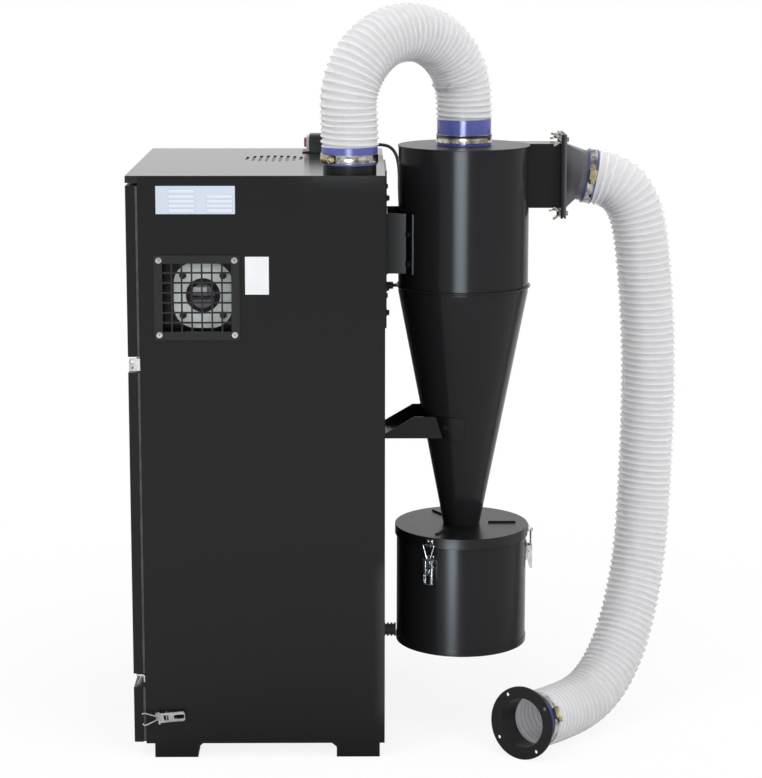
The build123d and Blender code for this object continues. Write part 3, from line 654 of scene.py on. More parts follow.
class RibTree(Tree):
    """The tree of a hose: a tube along a line with one ridge that winds round it."""

    def __init__(self) -> None:
        """Builds the tree."""
        inputs = [
            ("Radius", "NodeSocketFloat", 0.04),
            ("Ridge", "NodeSocketFloat", 0.002),
            ("Sharpness", "NodeSocketFloat", 1.9),
            ("Pitch", "NodeSocketFloat", 0.0086),
            ("Steps", "NodeSocketInt", 100),
            ("Sides", "NodeSocketInt", 48),
            ("Ridge Share", "NodeSocketFloat", 0.16),
            ("Ridge Material", "NodeSocketMaterial", None),
            ("Material", "NodeSocketMaterial", None),
        ]
        super().__init__("wound_ridge", inputs)
        tree, given = self.tree, self.given
        line = self.step("MeshToCurve", {"Mesh": given["Geometry"]})
        line = self.step("ResampleCurve", {"Curve": line, "Count": given["Steps"]})
        length = add_node(tree, "GeometryNodeSplineParameter").outputs["Length"]
        line, along = self.capture(line, length, "along")
        sizes = {"Resolution": given["Sides"], "Radius": given["Radius"]}
        circle = self.step("CurvePrimitiveCircle", sizes)
        share = compute(tree, "DIVIDE", self.step("InputIndex"), given["Sides"])
        circle, turned = self.capture(circle, share, "round")
        tube = self.step("CurveToMesh", {"Curve": line, "Profile Curve": circle})
        # The distance from the ridge's crest, from 0 on it to 0.5 in the middle of the valley.
        phase = compute(tree, "ADD", compute(tree, "DIVIDE", along, given["Pitch"]), turned)
        beside = compute(tree, "PINGPONG", phase, 0.5)
        crest = compute(tree, "MULTIPLY_ADD", beside, -2.0, 1.0)
        crest = compute(tree, "POWER", crest, given["Sharpness"])
        height = compute(tree, "MULTIPLY", compute(tree, "SUBTRACT", crest, 1.0), given["Ridge"])
        values = {0: self.step("InputNormal"), "Scale": height}
        shift = add_node(tree, "ShaderNodeVectorMath", values, operation="SCALE").outputs[0]
        tube = self.step("SetPosition", {"Geometry": tube, "Offset": shift})
        tube, beside = self.capture(tube, beside, "beside_ridge")
        tube = self.step("SetShadeSmooth", {"Geometry": tube})
        tube = self.step("RealizeInstances", {"Geometry": tube})
        tube = self.step("SetMaterial", {"Geometry": tube, "Material": given["Material"]})
        values = {0: beside, 1: given["Ridge Share"]}
        raised = add_node(tree, "FunctionNodeCompare", values, operation="LESS_THAN").outputs[0]
        values = {"Geometry": tube, "Selection": raised, "Material": given["Ridge Material"]}
        self.close(self.step("SetMaterial", values))

    def capture(
        self, geometry: NodeSocket, value: NodeSocket, name: str
    ) -> tuple[NodeSocket, NodeSocket]:
        """Keeps a number on each point; returns the geometry and the kept number."""
        node = self.tree.nodes.new("GeometryNodeCaptureAttribute")
        node.capture_items.new("FLOAT", name)
        self.tree.links.new(geometry, node.inputs[0])
        self.tree.links.new(value, node.inputs[1])
        return node.outputs[0], node.outputs[1]

    def run(
        self, name: str, line: list[Vector], radius: float, ridge: float, pitch: float,
        sides: int = 42, per_turn: int = 10,
    ) -> Object:
        """Makes a ridged tube along a line.

        Args:
            name: The piece's name.
            line: The points that its centre follows.
            radius: The radius over the ridge.
            ridge: How far the ridge stands out.
            pitch: The distance from one turn to the next.
            sides: How many steps it has round the line.
            per_turn: How many steps along the line each turn gets.

        Returns:
            The open tube, with no wall yet.
        """
        length = sum((b - a).length for a, b in zip(line, line[1:]))
        source = bpy.data.meshes.new(name + "_line")
        source.from_pydata(line, [(i, i + 1) for i in range(len(line) - 1)], [])
        values = {
            "Radius": radius,
            "Ridge": ridge,
            "Pitch": pitch,
            "Steps": int(length / pitch * per_turn),
            "Sides": sides,
            "Material": CLEAR_PVC.material(),
            "Ridge Material": HELIX_PVC.material(),
        }
        return self.apply(name, source, values)


class ScatterTree(Tree):
    """The tree of small repeated parts: one shape at each point, turned as the point says."""

    def __init__(self) -> None:
        """Builds the tree."""
        inputs = [
            ("Shape", "NodeSocketObject", None),
            ("Size", "NodeSocketFloat", 1.0),
            ("Material", "NodeSocketMaterial", None),
        ]
        super().__init__("set_fasteners", inputs)
        tree, given = self.tree, self.given
        shape = add_node(tree, "GeometryNodeObjectInfo", {"Object": given["Shape"]})
        turn = self.step("InputNamedAttribute", {"Name": "turn"}, data_type="FLOAT_VECTOR")
        values = {
            "Points": given["Geometry"],
            "Instance": shape.outputs["Geometry"],
            "Rotation": add_node(tree, "FunctionNodeEulerToRotation", {0: turn}).outputs[0],
            "Scale": given["Size"],
        }
        real = self.step("RealizeInstances", {"Geometry": self.step("InstanceOnPoints", values)})
        self.close(self.step("SetMaterial", {"Geometry": real, "Material": given["Material"]}))

    def run(self, name: str, shape: Object, places: list[Matrix], finish: Finish) -> Object:
        """Sets a shape at each place and removes the shape's own object.

        Args:
            name: The piece's name.
            shape: The shape, round the origin.
            places: Where each copy stands.
            finish: The finish of them all.

        Returns:
            One mesh object with all the copies.
        """
        source = bpy.data.meshes.new(name + "_points")
        source.from_pydata([place.translation for place in places], [], [])
        turns = source.attributes.new("turn", "FLOAT_VECTOR", "POINT")
        for item, place in zip(turns.data, places):
            item.vector = place.to_euler()
        values = {"Shape": shape, "Size": 1.0, "Material": finish.material()}
        made = self.apply(name, source, values)
        discard(shape)
        return made


# Camera and light


@dataclass
class Studio:
    """Camera, floor and lights."""

    height_px: int = 778
    focal_px: float = 2195.0
    place: Point = (-0.0151, -3.2198, 1.1463)
    pitch: float = 9.345
    yaw: float = 0.6
    roll: float = 0.049
    shift: Pair = (0.0015, -0.1)
    front_glow: float = 0.6
    back_glow: float = 1.0
    floor_glow: float = 0.86
    floor_reach: float = 14.0
    front_lamp: Point = (2.6, -2.8, 1.9)
    front_watts: float = 26.0
    overhead_watts: float = 14.0
    # Name, x, the x that it faces, z, height and watts of each strip.
    strips: tuple[tuple[str, float, float, float, float, float], ...] = (
        ("barrel_strip", 0.104, 0.130, 0.75, 0.36, 0.11),
        ("bin_strip", 0.050, 0.115, 0.16, 0.22, 0.25),
        ("spigot_strip", -0.034, -0.020, 0.90, 0.12, 0.02),
        ("hose_strip", 0.340, 0.415, 0.48, 0.60, 0.20),
    )
    strip_y: Pair = (-0.336, -0.137)
    strip_width: float = 0.1
    strip_colour: Point = (0.88, 1.0, 1.08)
    strip_spread: float = 36.0

    def camera(self) -> None:
        """Stands the camera where the photograph was taken from."""
        data = bpy.data.cameras.new("camera")
        data.sensor_width = 36.0
        data.lens = self.focal_px * data.sensor_width / self.height_px
        data.shift_x, data.shift_y = self.shift
        data.clip_start, data.clip_end = 0.05, 60.0
        obj = link("camera", data)
        turn = Matrix.Rotation(-math.radians(self.yaw), 4, "Z")
        turn = turn @ Matrix.Rotation(math.radians(90 - self.pitch), 4, "X")
        turn = turn @ Matrix.Rotation(math.radians(self.roll), 4, "Z")
        obj.matrix_world = at(*self.place) @ turn
        bpy.context.scene.camera = obj

    def lamp(self, name: str, place: Point, aim: Point, size: Pair, watts: float) -> Object:
        """Hangs a soft rectangular lamp.

        Args:
            name: The lamp's name.
            place: Where it hangs.
            aim: The point that it faces.
            size: Its width and height.
            watts: Its power.

        Returns:
            The lamp.
        """
        data = bpy.data.lights.new(name, "AREA")
        data.shape = "RECTANGLE"
        data.size, data.size_y = size
        data.energy = watts
        obj = link(name, data)
        obj.location = place
        obj.rotation_euler = (Vector(aim) - Vector(place)).to_track_quat("-Z", "Y").to_euler()
        obj.visible_camera = False
        return obj

    def lights(self) -> None:
        """Hangs an even pair in front, one lamp above, and the strips that draw the streaks."""
        x, y, z = self.front_lamp
        soft = [
            self.lamp(
                f"front_{side}", (x * side, y, z), (0.0, 0.0, 0.5), (1.6, 1.6), self.front_watts
            )
            for side in (-1, 1)
        ]
        overhead = (0.0, -0.4, 3.0)
        size = (3.0, 2.4)
        soft.append(self.lamp("overhead", overhead, (0.0, 0.0, 0.0), size, self.overhead_watts))
        for lamp in soft:
            lamp.visible_glossy = False
        near, far = self.strip_y
        for name, x, aim, z, tall, watts in self.strips:
            strip = self.lamp(name, (x, near, z), (aim, far, z), (self.strip_width, tall), watts)
            strip.data.color = self.strip_colour
            strip.data.spread = math.radians(self.strip_spread)
            strip.visible_diffuse = False
            strip.visible_transmission = False

    def world(self) -> None:
        """Makes the room: white to the camera and behind the object, dimmer in front."""
        world = bpy.data.worlds.new("room")
        bpy.context.scene.world = world
        world.use_nodes = True
        tree = world.node_tree
        tree.nodes.clear()
        spot = add_node(tree, "ShaderNodeTexCoord").outputs["Generated"]
        depth = add_node(tree, "ShaderNodeSeparateXYZ", {0: spot}).outputs["Y"]
        glows = (self.front_glow, self.back_glow)
        side = ranged(tree, depth, (-0.35, 0.35), glows, "SMOOTHSTEP")
        glossy = add_node(tree, "ShaderNodeLightPath").outputs["Is Glossy Ray"]
        values = {0: glossy, 2: 1.0, 3: side}
        glow = add_node(tree, "ShaderNodeMix", values, data_type="FLOAT").outputs[0]
        values = {"Color": (1.0, 1.0, 1.0, 1.0), "Strength": glow}
        sky = add_node(tree, "ShaderNodeBackground", values).outputs[0]
        add_node(tree, "ShaderNodeOutputWorld", {"Surface": sky})

    def floor(self) -> None:
        """Lays the plain pale floor, which keeps a light shadow near the object."""
        shape = Shape("floor")
        bmesh.ops.create_grid(shape.bm, x_segments=1, y_segments=1, size=self.floor_reach)
        obj = shape.done(smooth=False)
        material = bpy.data.materials.new("painted_pale_floor")
        material.use_nodes = True
        tree = material.node_tree
        tree.nodes.clear()
        values = {"Color": linear("#e8e8e8"), "Roughness": 1.0}
        matt = add_node(tree, "ShaderNodeBsdfDiffuse", values).outputs[0]
        values = {"Color": (1.0, 1.0, 1.0, 1.0), "Strength": 1.0}
        glow = add_node(tree, "ShaderNodeEmission", values).outputs[0]
        seen = add_node(tree, "ShaderNodeLightPath").outputs["Is Camera Ray"]
        spot = add_node(tree, "ShaderNodeTexCoord").outputs["Object"]
        away = add_node(tree, "ShaderNodeVectorMath", {0: spot}, operation="LENGTH")
        fade = ranged(
            tree, away.outputs["Value"], (0.3, 1.3), (self.floor_glow, 1.0), "SMOOTHSTEP"
        )
        values = {0: compute(tree, "MULTIPLY", seen, fade), 1: matt, 2: glow}
        mixed = add_node(tree, "ShaderNodeMixShader", values).outputs[0]
        add_node(tree, "ShaderNodeOutputMaterial", {"Surface": mixed})
        obj.data.materials.append(material)

    def build(self) -> None:
        """Sets up the whole studio."""
        bpy.context.scene.view_settings.view_transform = "Standard"
        self.camera()
        self.lights()
        self.world()
        self.floor()


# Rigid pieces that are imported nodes


def merged_copy(frame: dict, node: str, name: str) -> Object:
    """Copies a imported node's mesh, merged and with its flat faces whole."""
    bm = bmesh.new()
    bm.from_mesh(frame["nodes"][node].data)
    bmesh.ops.remove_doubles(bm, verts=bm.verts, dist=2e-6)
    flat = math.radians(0.3)
    bmesh.ops.dissolve_limit(bm, angle_limit=flat, verts=bm.verts[:], edges=bm.edges[:])
    return link_bmesh(name, bm)


@dataclass(frozen=True)
class Skin:
    """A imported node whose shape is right, dressed with rounded edges and its finish."""

    node: str
    name: str
    finish: Finish
    slot: Slot
    edge_mm: float = 0.4
    segments: int = 2

    def build(self, frame: dict) -> Object:
        """Makes the dressed piece, which stands for its node."""
        obj = merged_copy(frame, self.node, self.name)
        if self.edge_mm:
            bevel(obj, self.edge_mm * MM, self.segments)
        else:
            sharpen(obj)
        return dress(obj, self.finish, self.slot, self.node)


SKINS = (
    Skin("right_side_panel", "near_side_sheet", POWDER_COAT, Slot.BLACK_PAINT, 0.5),
    Skin("left_side_panel", "far_side_sheet", POWDER_COAT, Slot.BLACK_PAINT, 0.5),
    Skin("back_panel", "back_sheet", POWDER_COAT, Slot.BLACK_PAINT, 0.3),
    Skin("front_panel", "bulkhead_sheet", POWDER_COAT, Slot.BLACK_PAINT, 0.3),
    Skin("base_plate", "floor_sheet", POWDER_COAT, Slot.BLACK_PAINT, 0.3),
    Skin("top_cover", "top_sheet", TOP_COAT, Slot.BLACK_PAINT, 0.5),
    Skin("upper_door", "upper_door_tray", POWDER_COAT, Slot.BLACK_PAINT, 0.35),
    Skin("lower_door", "lower_door_tray", POWDER_COAT, Slot.BLACK_PAINT, 0.35),
    Skin("bottom_door", "bottom_door_tray", POWDER_COAT, Slot.BLACK_PAINT, 0.35),
    Skin("door_seals", "door_seal_strips", EPDM, Slot.DARK_RUBBER, 0.8),
    Skin("upper_catch", "upper_catch_plate", NICKEL, Slot.CHROME, 0.3),
    Skin("front_foot", "front_foot_channel", POWDER_COAT, Slot.FOOT_PAINT, 0.6),
    Skin("rear_foot", "rear_foot_channel", POWDER_COAT, Slot.FOOT_PAINT, 0.6),
    Skin("fan_guard", "finger_guard_grid", BLACK_ABS, Slot.BLACK_PLASTIC, 0.5),
    Skin("fan_recess", "guard_recess_box", POWDER_COAT, Slot.BLACK_PAINT, 0.3),
    Skin("blower_face", "blower_face_casting", CAST_ALUMINIUM, Slot.PALE_PLATE, 0.5),
    Skin("blower_motor", "motor_end", WINDINGS, Slot.MOTOR_STEEL, 1.0, 3),
    Skin("cabinet_spigot", "cabinet_outlet_spigot", BAKED_ENAMEL, Slot.BLACK_PAINT),
    Skin("control_unit", "control_unit_housing", BLACK_ABS, Slot.BLACK_PLASTIC, 0.8, 3),
    Skin("control_bezel", "control_unit_frame", PALE_ABS, Slot.PALE_PLASTIC, 1.2, 3),
    Skin("control_rocker", "control_unit_rocker", RED_PC, Slot.RED_PLASTIC, 1.2, 3),
    Skin("panel_gland", "panel_cable_gland", BLACK_ABS, Slot.BLACK_PLASTIC, 0.8),
    Skin("mounting_plate", "back_mounting_plate", POWDER_COAT, Slot.BLACK_PAINT, 0.5),
    Skin("upper_bracket", "upper_saddle_bracket", POWDER_COAT, Slot.BLACK_PAINT),
    Skin("lower_bracket", "lower_tray_bracket", POWDER_COAT, Slot.BLACK_PAINT),
    Skin("bin_buffer", "bin_rubber_buffer", EPDM, Slot.DARK_RUBBER),
    Skin("cyclone_barrel", "rolled_barrel", BAKED_ENAMEL, Slot.BLACK_PAINT, 0.3),
    Skin("cyclone_top", "barrel_top_disc", LID_ENAMEL, Slot.BLACK_PAINT, 0.5),
    Skin("outlet_tube", "vortex_outlet_tube", BAKED_ENAMEL, Slot.BLACK_PAINT),
    Skin("seam_ring", "swaged_seam_bead", BAKED_ENAMEL, Slot.BLACK_PAINT, 0.0),
    Skin("cyclone_cone", "rolled_cone", BAKED_ENAMEL, Slot.BLACK_PAINT, 0.3),
    Skin("dust_outlet", "dust_outlet_cone", BAKED_ENAMEL, Slot.BLACK_PAINT, 0.3),
    Skin("inlet_duct", "tangent_inlet_duct", BAKED_ENAMEL, Slot.BLACK_PAINT),
    Skin("flange_gasket", "inlet_flange_gasket", EPDM, Slot.DARK_RUBBER, 0.3),
    Skin("bin_body", "dust_bin_shell", BAKED_ENAMEL, Slot.BLACK_PAINT),
    Skin("bin_lid", "dust_bin_lid", LID_ENAMEL, Slot.BLACK_PAINT, 0.8, 3),
)


# Clamps, hoses and cable


@dataclass(frozen=True)
class WormClamp:
    """A band clamp: a rolled band, its slotted tail and the housing with its worm screw.

    The place's z axis is the band's axis; the housing sits at an angle from its x axis.
    """

    name: str
    place: Matrix
    housing_degrees: float
    inner: float = 39.5 * MM
    wall: float = 0.8 * MM
    width: float = 12.0 * MM
    rolled_edge: tuple[Pair, ...] = ((0.3, 0), (0.5, 0.35), (0.25, 0.9), (0, 1.3))
    tail_degrees: float = 75.0
    tail_thick: float = 0.7 * MM
    tail_steps: int = 24
    tooth_step: float = 2.6 * MM
    housing: Point = (15.0 * MM, 13.0 * MM, 7.0 * MM)
    screw: tuple[Pair, ...] = (
        (0, -9.0), (2.8, -9.0), (3.2, -7.5), (3.2, 7.8), (5.4, 8.0), (5.4, 8.8), (4.0, 9.0),
        (4.0, 13.5), (3.28, 14.3), (0, 14.3),
    )

    def local(self, degrees: float, radius: float) -> Matrix:
        """A place on the band: x round it, y along its axis and z outwards."""
        angle = math.radians(degrees)
        spot = polar(radius, angle, self.width / 2)
        return self.place @ axes_to(spot, polar(1.0, angle + math.pi / 2), polar(1.0, angle))

    def band(self) -> Object:
        """The band with rolled edges."""
        low, high, width = self.inner, self.inner + self.wall, self.width
        edge = mm(*self.rolled_edge)
        profile = [(low, 0.0)] + [(high + x, z) for x, z in edge]
        profile += [(high + x, width - z) for x, z in reversed(edge)] + [(low, width)]
        return Shape(self.name + "_band").lathe(profile, self.place, 96).done()

    def tail(self) -> Object:
        """The band's free end, lying on the band beside the housing."""
        low = self.inner + self.wall + 0.05 * MM
        high = low + self.tail_thick
        rows = []
        for step in range(self.tail_steps + 1):
            angle = self.housing_degrees - self.tail_degrees * step / self.tail_steps
            inset = (4.1 if step == self.tail_steps else 1.6) * MM
            half = self.width / 2 - inset
            corners = ((low, -half), (high, -half), (high, half), (low, half))
            rows.append([self.local(angle, r) @ Vector((0, y, 0)) for r, y in corners])
        return Shape(self.name + "_tail").skin(rows, closed=False).sharp(35.0)

    def teeth(self, scatter: ScatterTree) -> Object:
        """The pressed thread marks of the tail."""
        radius = self.inner + self.wall + 0.75 * MM
        step = math.degrees(self.tooth_step / radius)
        slant = Matrix.Rotation(math.radians(10), 4, "Z")
        places = [
            self.local(self.housing_degrees - 5 - step * index, radius) @ slant
            for index in range(int((self.tail_degrees - 6) / step))
        ]
        half = self.width / 2 - 3.2 * MM
        shape = Shape("tooth_shape")
        shape.block((-0.6 * MM, -half, -0.1 * MM), (0.6 * MM, half, 0.35 * MM))
        return scatter.run(self.name + "_teeth", shape.rounded(0.25 * MM), places, ZINC_BAND)

    def head(self) -> Object:
        """The housing and its screw."""
        long, wide, tall = self.housing
        seat = self.local(self.housing_degrees, self.inner + self.wall)
        arc = [math.pi * step / 8 for step in range(9)]
        roof = [(wide / 2 * math.cos(a), tall * (0.45 + 0.55 * math.sin(a))) for a in arc]
        outline = [(wide / 2, 0.0), *roof, (-wide / 2, 0.0)]
        saddle = Shape(self.name + "_saddle")
        saddle.plate(outline, long, seat @ at(-long / 2, 0, 0) @ ACROSS)
        screw = Shape(self.name + "_screw")
        screw.lathe(mm(*self.screw), seat @ at(0, 0, tall * 0.52) @ ACROSS)
        parts = [saddle.rounded(0.5 * MM, 2, 50.0), screw.sharp(35.0)]
        return joined(self.name + "_housing", parts)

    def build(self, scatter: ScatterTree, *replaced: str) -> list[Object]:
        """Makes the clamp's pieces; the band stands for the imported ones.

        Args:
            scatter: The tree that sets the thread marks.
            replaced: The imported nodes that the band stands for.

        Returns:
            The pieces.
        """
        return [
            dress(self.band(), ZINC_BAND, Slot.ZINC_BAND, *replaced),
            dress(self.tail(), ZINC_BAND, Slot.ZINC_BAND),
            dress(self.teeth(scatter), ZINC_BAND, Slot.ZINC_BAND),
            dress(self.head(), YELLOW_ZINC, Slot.ZINC_BAND),
        ]


@dataclass
class Hoses:
    """The two wound hoses, their soft cuffs and the clamps that hold them."""

    ribs: RibTree
    scatter: ScatterTree
    radius: float = 41.5 * MM
    ridge: float = 3.3 * MM
    pitch: float = 9.6 * MM
    arch_pitch: float = 8.5 * MM
    arch_sides: int = 64
    wall: float = 1.1 * MM
    length: float = 0.975
    mouth: Point = (0.3350, 0.02925, 0.8262)
    route: tuple[Point, ...] = (
        (0.3375, 0.02925, 0.81378), (0.3559, 0.02925, 0.81073), (0.3729, 0.0296, 0.8024),
        (0.3872, 0.0304, 0.7888), (0.3986, 0.0316, 0.7684), (0.4078, 0.0332, 0.7340),
        (0.4142, 0.0352, 0.6850), (0.4205, 0.0374, 0.6200), (0.4244, 0.0388, 0.5510),
        (0.4255, 0.0392, 0.4810), (0.4245, 0.0380, 0.4110), (0.4221, 0.0346, 0.3430),
        (0.4181, 0.0266, 0.2800), (0.4111, 0.0124, 0.2220), (0.3987, -0.0086, 0.1670),
        (0.3811, -0.0360, 0.1170), (0.3585, -0.0634, 0.0790), (0.3339, -0.0876, 0.0555),
        (0.3089, -0.1090, 0.0446), (0.2845, -0.1314, 0.0424), (0.26004, -0.15953, 0.04387),
        (0.2445, -0.17972, 0.04714),
    )
    arch: tuple[Point, ...] = (
        (-0.0253, -0.1600, 0.8760), (-0.0253, -0.1600, 0.9060), (-0.0277, -0.1617, 0.9494),
        (-0.0150, -0.1526, 0.9873), (0.0086, -0.1358, 1.0163), (0.0394, -0.1138, 1.0320),
        (0.0728, -0.0900, 1.0320), (0.1036, -0.0680, 1.0163), (0.1272, -0.0511, 0.9873),
        (0.1400, -0.0420, 0.9494), (0.1400, -0.0420, 0.9055),
    )
    flange_centre: Point = (0.2201, -0.2114, 0.0522573)
    flange_normal: Point = (-0.6051996, -0.7858677, 0.1270646)
    flange_across: Point = (0.7922896, -0.6101454, 0.0)
    flange_to_clamp: float = 26.0 * MM
    cabinet_end: Point = (-0.0253, -0.160, 0.8545)
    outlet_end: Point = (0.140, -0.042, 0.872)
    # One bead of the inlet's cuff, and the places of the two along its axis.
    bead: tuple[Pair, ...] = (
        (38.4, -1.1), (40.2, -1.1), (41.0, 0), (40.2, 1.1), (38.4, 1.1)
    )
    bead_places: Pair = (-1.1, 11.5)

    def free_hose(self) -> None:
        line = line_points("inlet_hose_line", self.route)
        hose = self.ribs.run("inlet_hose_wound", line, self.radius, self.ridge, self.pitch)
        applied(hose, "SOLIDIFY", thickness=self.wall, offset=-1.0)
        dress(hose, CLEAR_PVC, Slot.CLEAR_HOSE, "inlet_hose")

    def short_hose(self) -> None:
        """Winds the short hose between the cabinet and the cyclone."""
        line = line_points("arch_hose_line", self.arch)
        hose = self.ribs.run(
            "arch_hose_wound", line, self.radius, self.ridge, self.arch_pitch, self.arch_sides
        )
        applied(hose, "SOLIDIFY", thickness=self.wall, offset=-1.0)
        dress(hose, CLEAR_PVC, Slot.CLEAR_HOSE, "arch_hose")

    def free_end(self, frame: dict) -> list[Object]:
        """Makes the flange, cuff and clamp at the hose's free end."""
        flange = Skin("end_flange", "free_end_flange", POWDER_COAT, Slot.BLACK_PAINT)
        cuff = Skin("end_cuff", "free_end_cuff", BLUE_PVC, Slot.SOFT_CUFF, 0.5)
        pieces = [flange.build(frame), cuff.build(frame)]
        normal = Vector(self.flange_normal)
        origin = Vector(self.flange_centre) - normal * self.flange_to_clamp
        place = axes_to(origin, Vector(self.flange_across), -normal)
        return pieces + WormClamp("free_end_clamp", place, -26.0).build(self.scatter, "end_clamp")

    def held_ends(self, frame: dict) -> None:
        """Makes the cuffs and clamps that sit on the cabinet, the cyclone and its inlet."""
        Skin("arch_cuffs", "arch_hose_cuffs", BLUE_PVC, Slot.SOFT_CUFF, 0.5).build(frame)
        Skin("inlet_cuff", "inlet_hose_cuff", BLUE_PVC, Slot.SOFT_CUFF, 0.5).build(frame)
        clamp = WormClamp("cabinet_clamp", at(*self.cabinet_end), -139.0)
        clamp.build(self.scatter, "arch_clamps")
        WormClamp("outlet_clamp", at(*self.outlet_end), 80.0).build(self.scatter)
        droop = math.radians(INLET_DROOP)
        along = Vector((math.cos(droop), 0.0, -math.sin(droop)))
        origin = Vector(INLET_END) + along * 9.8 * MM
        place = axes_to(origin, Vector((0, -1, 0)), along)
        clamp = WormClamp("inlet_clamp", place, -8.0, width=10.4 * MM)
        clamp.build(self.scatter, "inlet_clamp")
        beads = Shape("inlet_cuff_beads")
        for height in self.bead_places:
            beads.lathe(mm(*((radius, height + z) for radius, z in self.bead)), place, 96)
        dress(beads.sharp(60.0), BLUE_PVC, Slot.SOFT_CUFF)


@dataclass
class ControlCable:
    """The cable of the control unit."""

    radius: float = 2.5 * MM
    length: float = 0.278
    route: tuple[Point, ...] = (
        (0.0120, 0.1590, 0.8505), (0.0255, 0.1590, 0.8505), (0.0380, 0.1525, 0.8468),
        (0.0465, 0.1405, 0.8346), (0.0496, 0.1264, 0.8130), (0.0492, 0.1124, 0.7850),
        (0.0506, 0.1000, 0.7530), (0.0546, 0.0860, 0.7200), (0.0600, 0.0710, 0.6900),
        (0.0640, 0.0560, 0.6680), (0.0620, 0.0435, 0.6550), (0.0520, 0.0360, 0.6500),
        (0.0390, 0.0360, 0.6500),
    )

    def build(self) -> None:
        obj = smooth_line("control_cable_sheath", self.route, 10, self.radius, 4)
        dress(obj, CABLE_PVC, Slot.BLACK_PLASTIC, "control_cable")


# Fasteners


class Fastener(Enum):
    """The small repeated parts."""

    DOMED_SCREW = "domed screw"
    HEX_BOLT = "hexagon bolt"
    FLAT_SCREW = "flat screw"
    WING_NUT = "wing nut"


# The angles at which a domed head is stepped, and its edge's height.
DOME = [math.radians(degrees) for degrees in (20, 40, 60, 75)]
DOME_EDGE = 0.18
# The turned outlines of each fastener in radii and heights, each after its number of sides.
TURNED = {
    Fastener.HEX_BOLT: (
        (20, [(0, 0), (1.25, 0), (1.25, 0.176), (1.2, 0.22), (0, 0.22)]),
        (6, [(0, 0.22), (0.98, 0.22), (1, 0.286), (1, 0.86), (0.86, 1), (0, 1)]),
    ),
    Fastener.WING_NUT: ((18, [(0, 0), (1, 0), (1, 0.1), (0.75, 0.45), (0.6, 0.5), (0, 0.5)]),),
    Fastener.FLAT_SCREW: (
        (20, [(0, 0), (1, 0), (1, 0.7), (0.9, 1), (0.5, 1), (0.42, 0.3), (0, 0.3)]),
    ),
    Fastener.DOMED_SCREW: (
        (24, [
            (0, 0), (1, 0), (1, DOME_EDGE),
            *((math.cos(a), DOME_EDGE + (1 - DOME_EDGE) * math.sin(a)) for a in DOME), (0, 1),
        ]),
    ),
}
# One wing of the wing nut, in its radii and heights.
WING = (
    (0.3, 0.08), (0.9, 0.12), (2.0, 0.5), (2.5, 0.85), (2.3, 1.0), (1.8, 0.98), (1.3, 0.66),
    (0.3, 0.45),
)


@dataclass(frozen=True)
class FastenerShape:
    """One fastener, its seat at the origin and its head along z."""

    kind: Fastener
    radius: float
    height: float
    wing_thick: float = 1.8 * MM

    def build(self) -> Object:
        """Makes the shape."""
        shape = Shape(self.kind.value.replace(" ", "_") + "_shape")
        r, h = self.radius, self.height
        for sides, outline in TURNED[self.kind]:
            shape.lathe([(x * r, z * h) for x, z in outline], sides=sides)
        if self.kind is Fastener.WING_NUT:
            lay = at(0, self.wing_thick / 2, 0) @ UPRIGHT
            for side in (-1, 1):
                shape.plate([(side * x * r, z * h) for x, z in WING], self.wing_thick, lay)
        if self.kind is Fastener.DOMED_SCREW:
            for x, y in ((0.5 * r, 0.16 * r), (0.16 * r, 0.5 * r)):
                shape.block((-x, -y, 0.65 * h), (x, y, 1.02 * h))
        return shape.sharp(40.0)


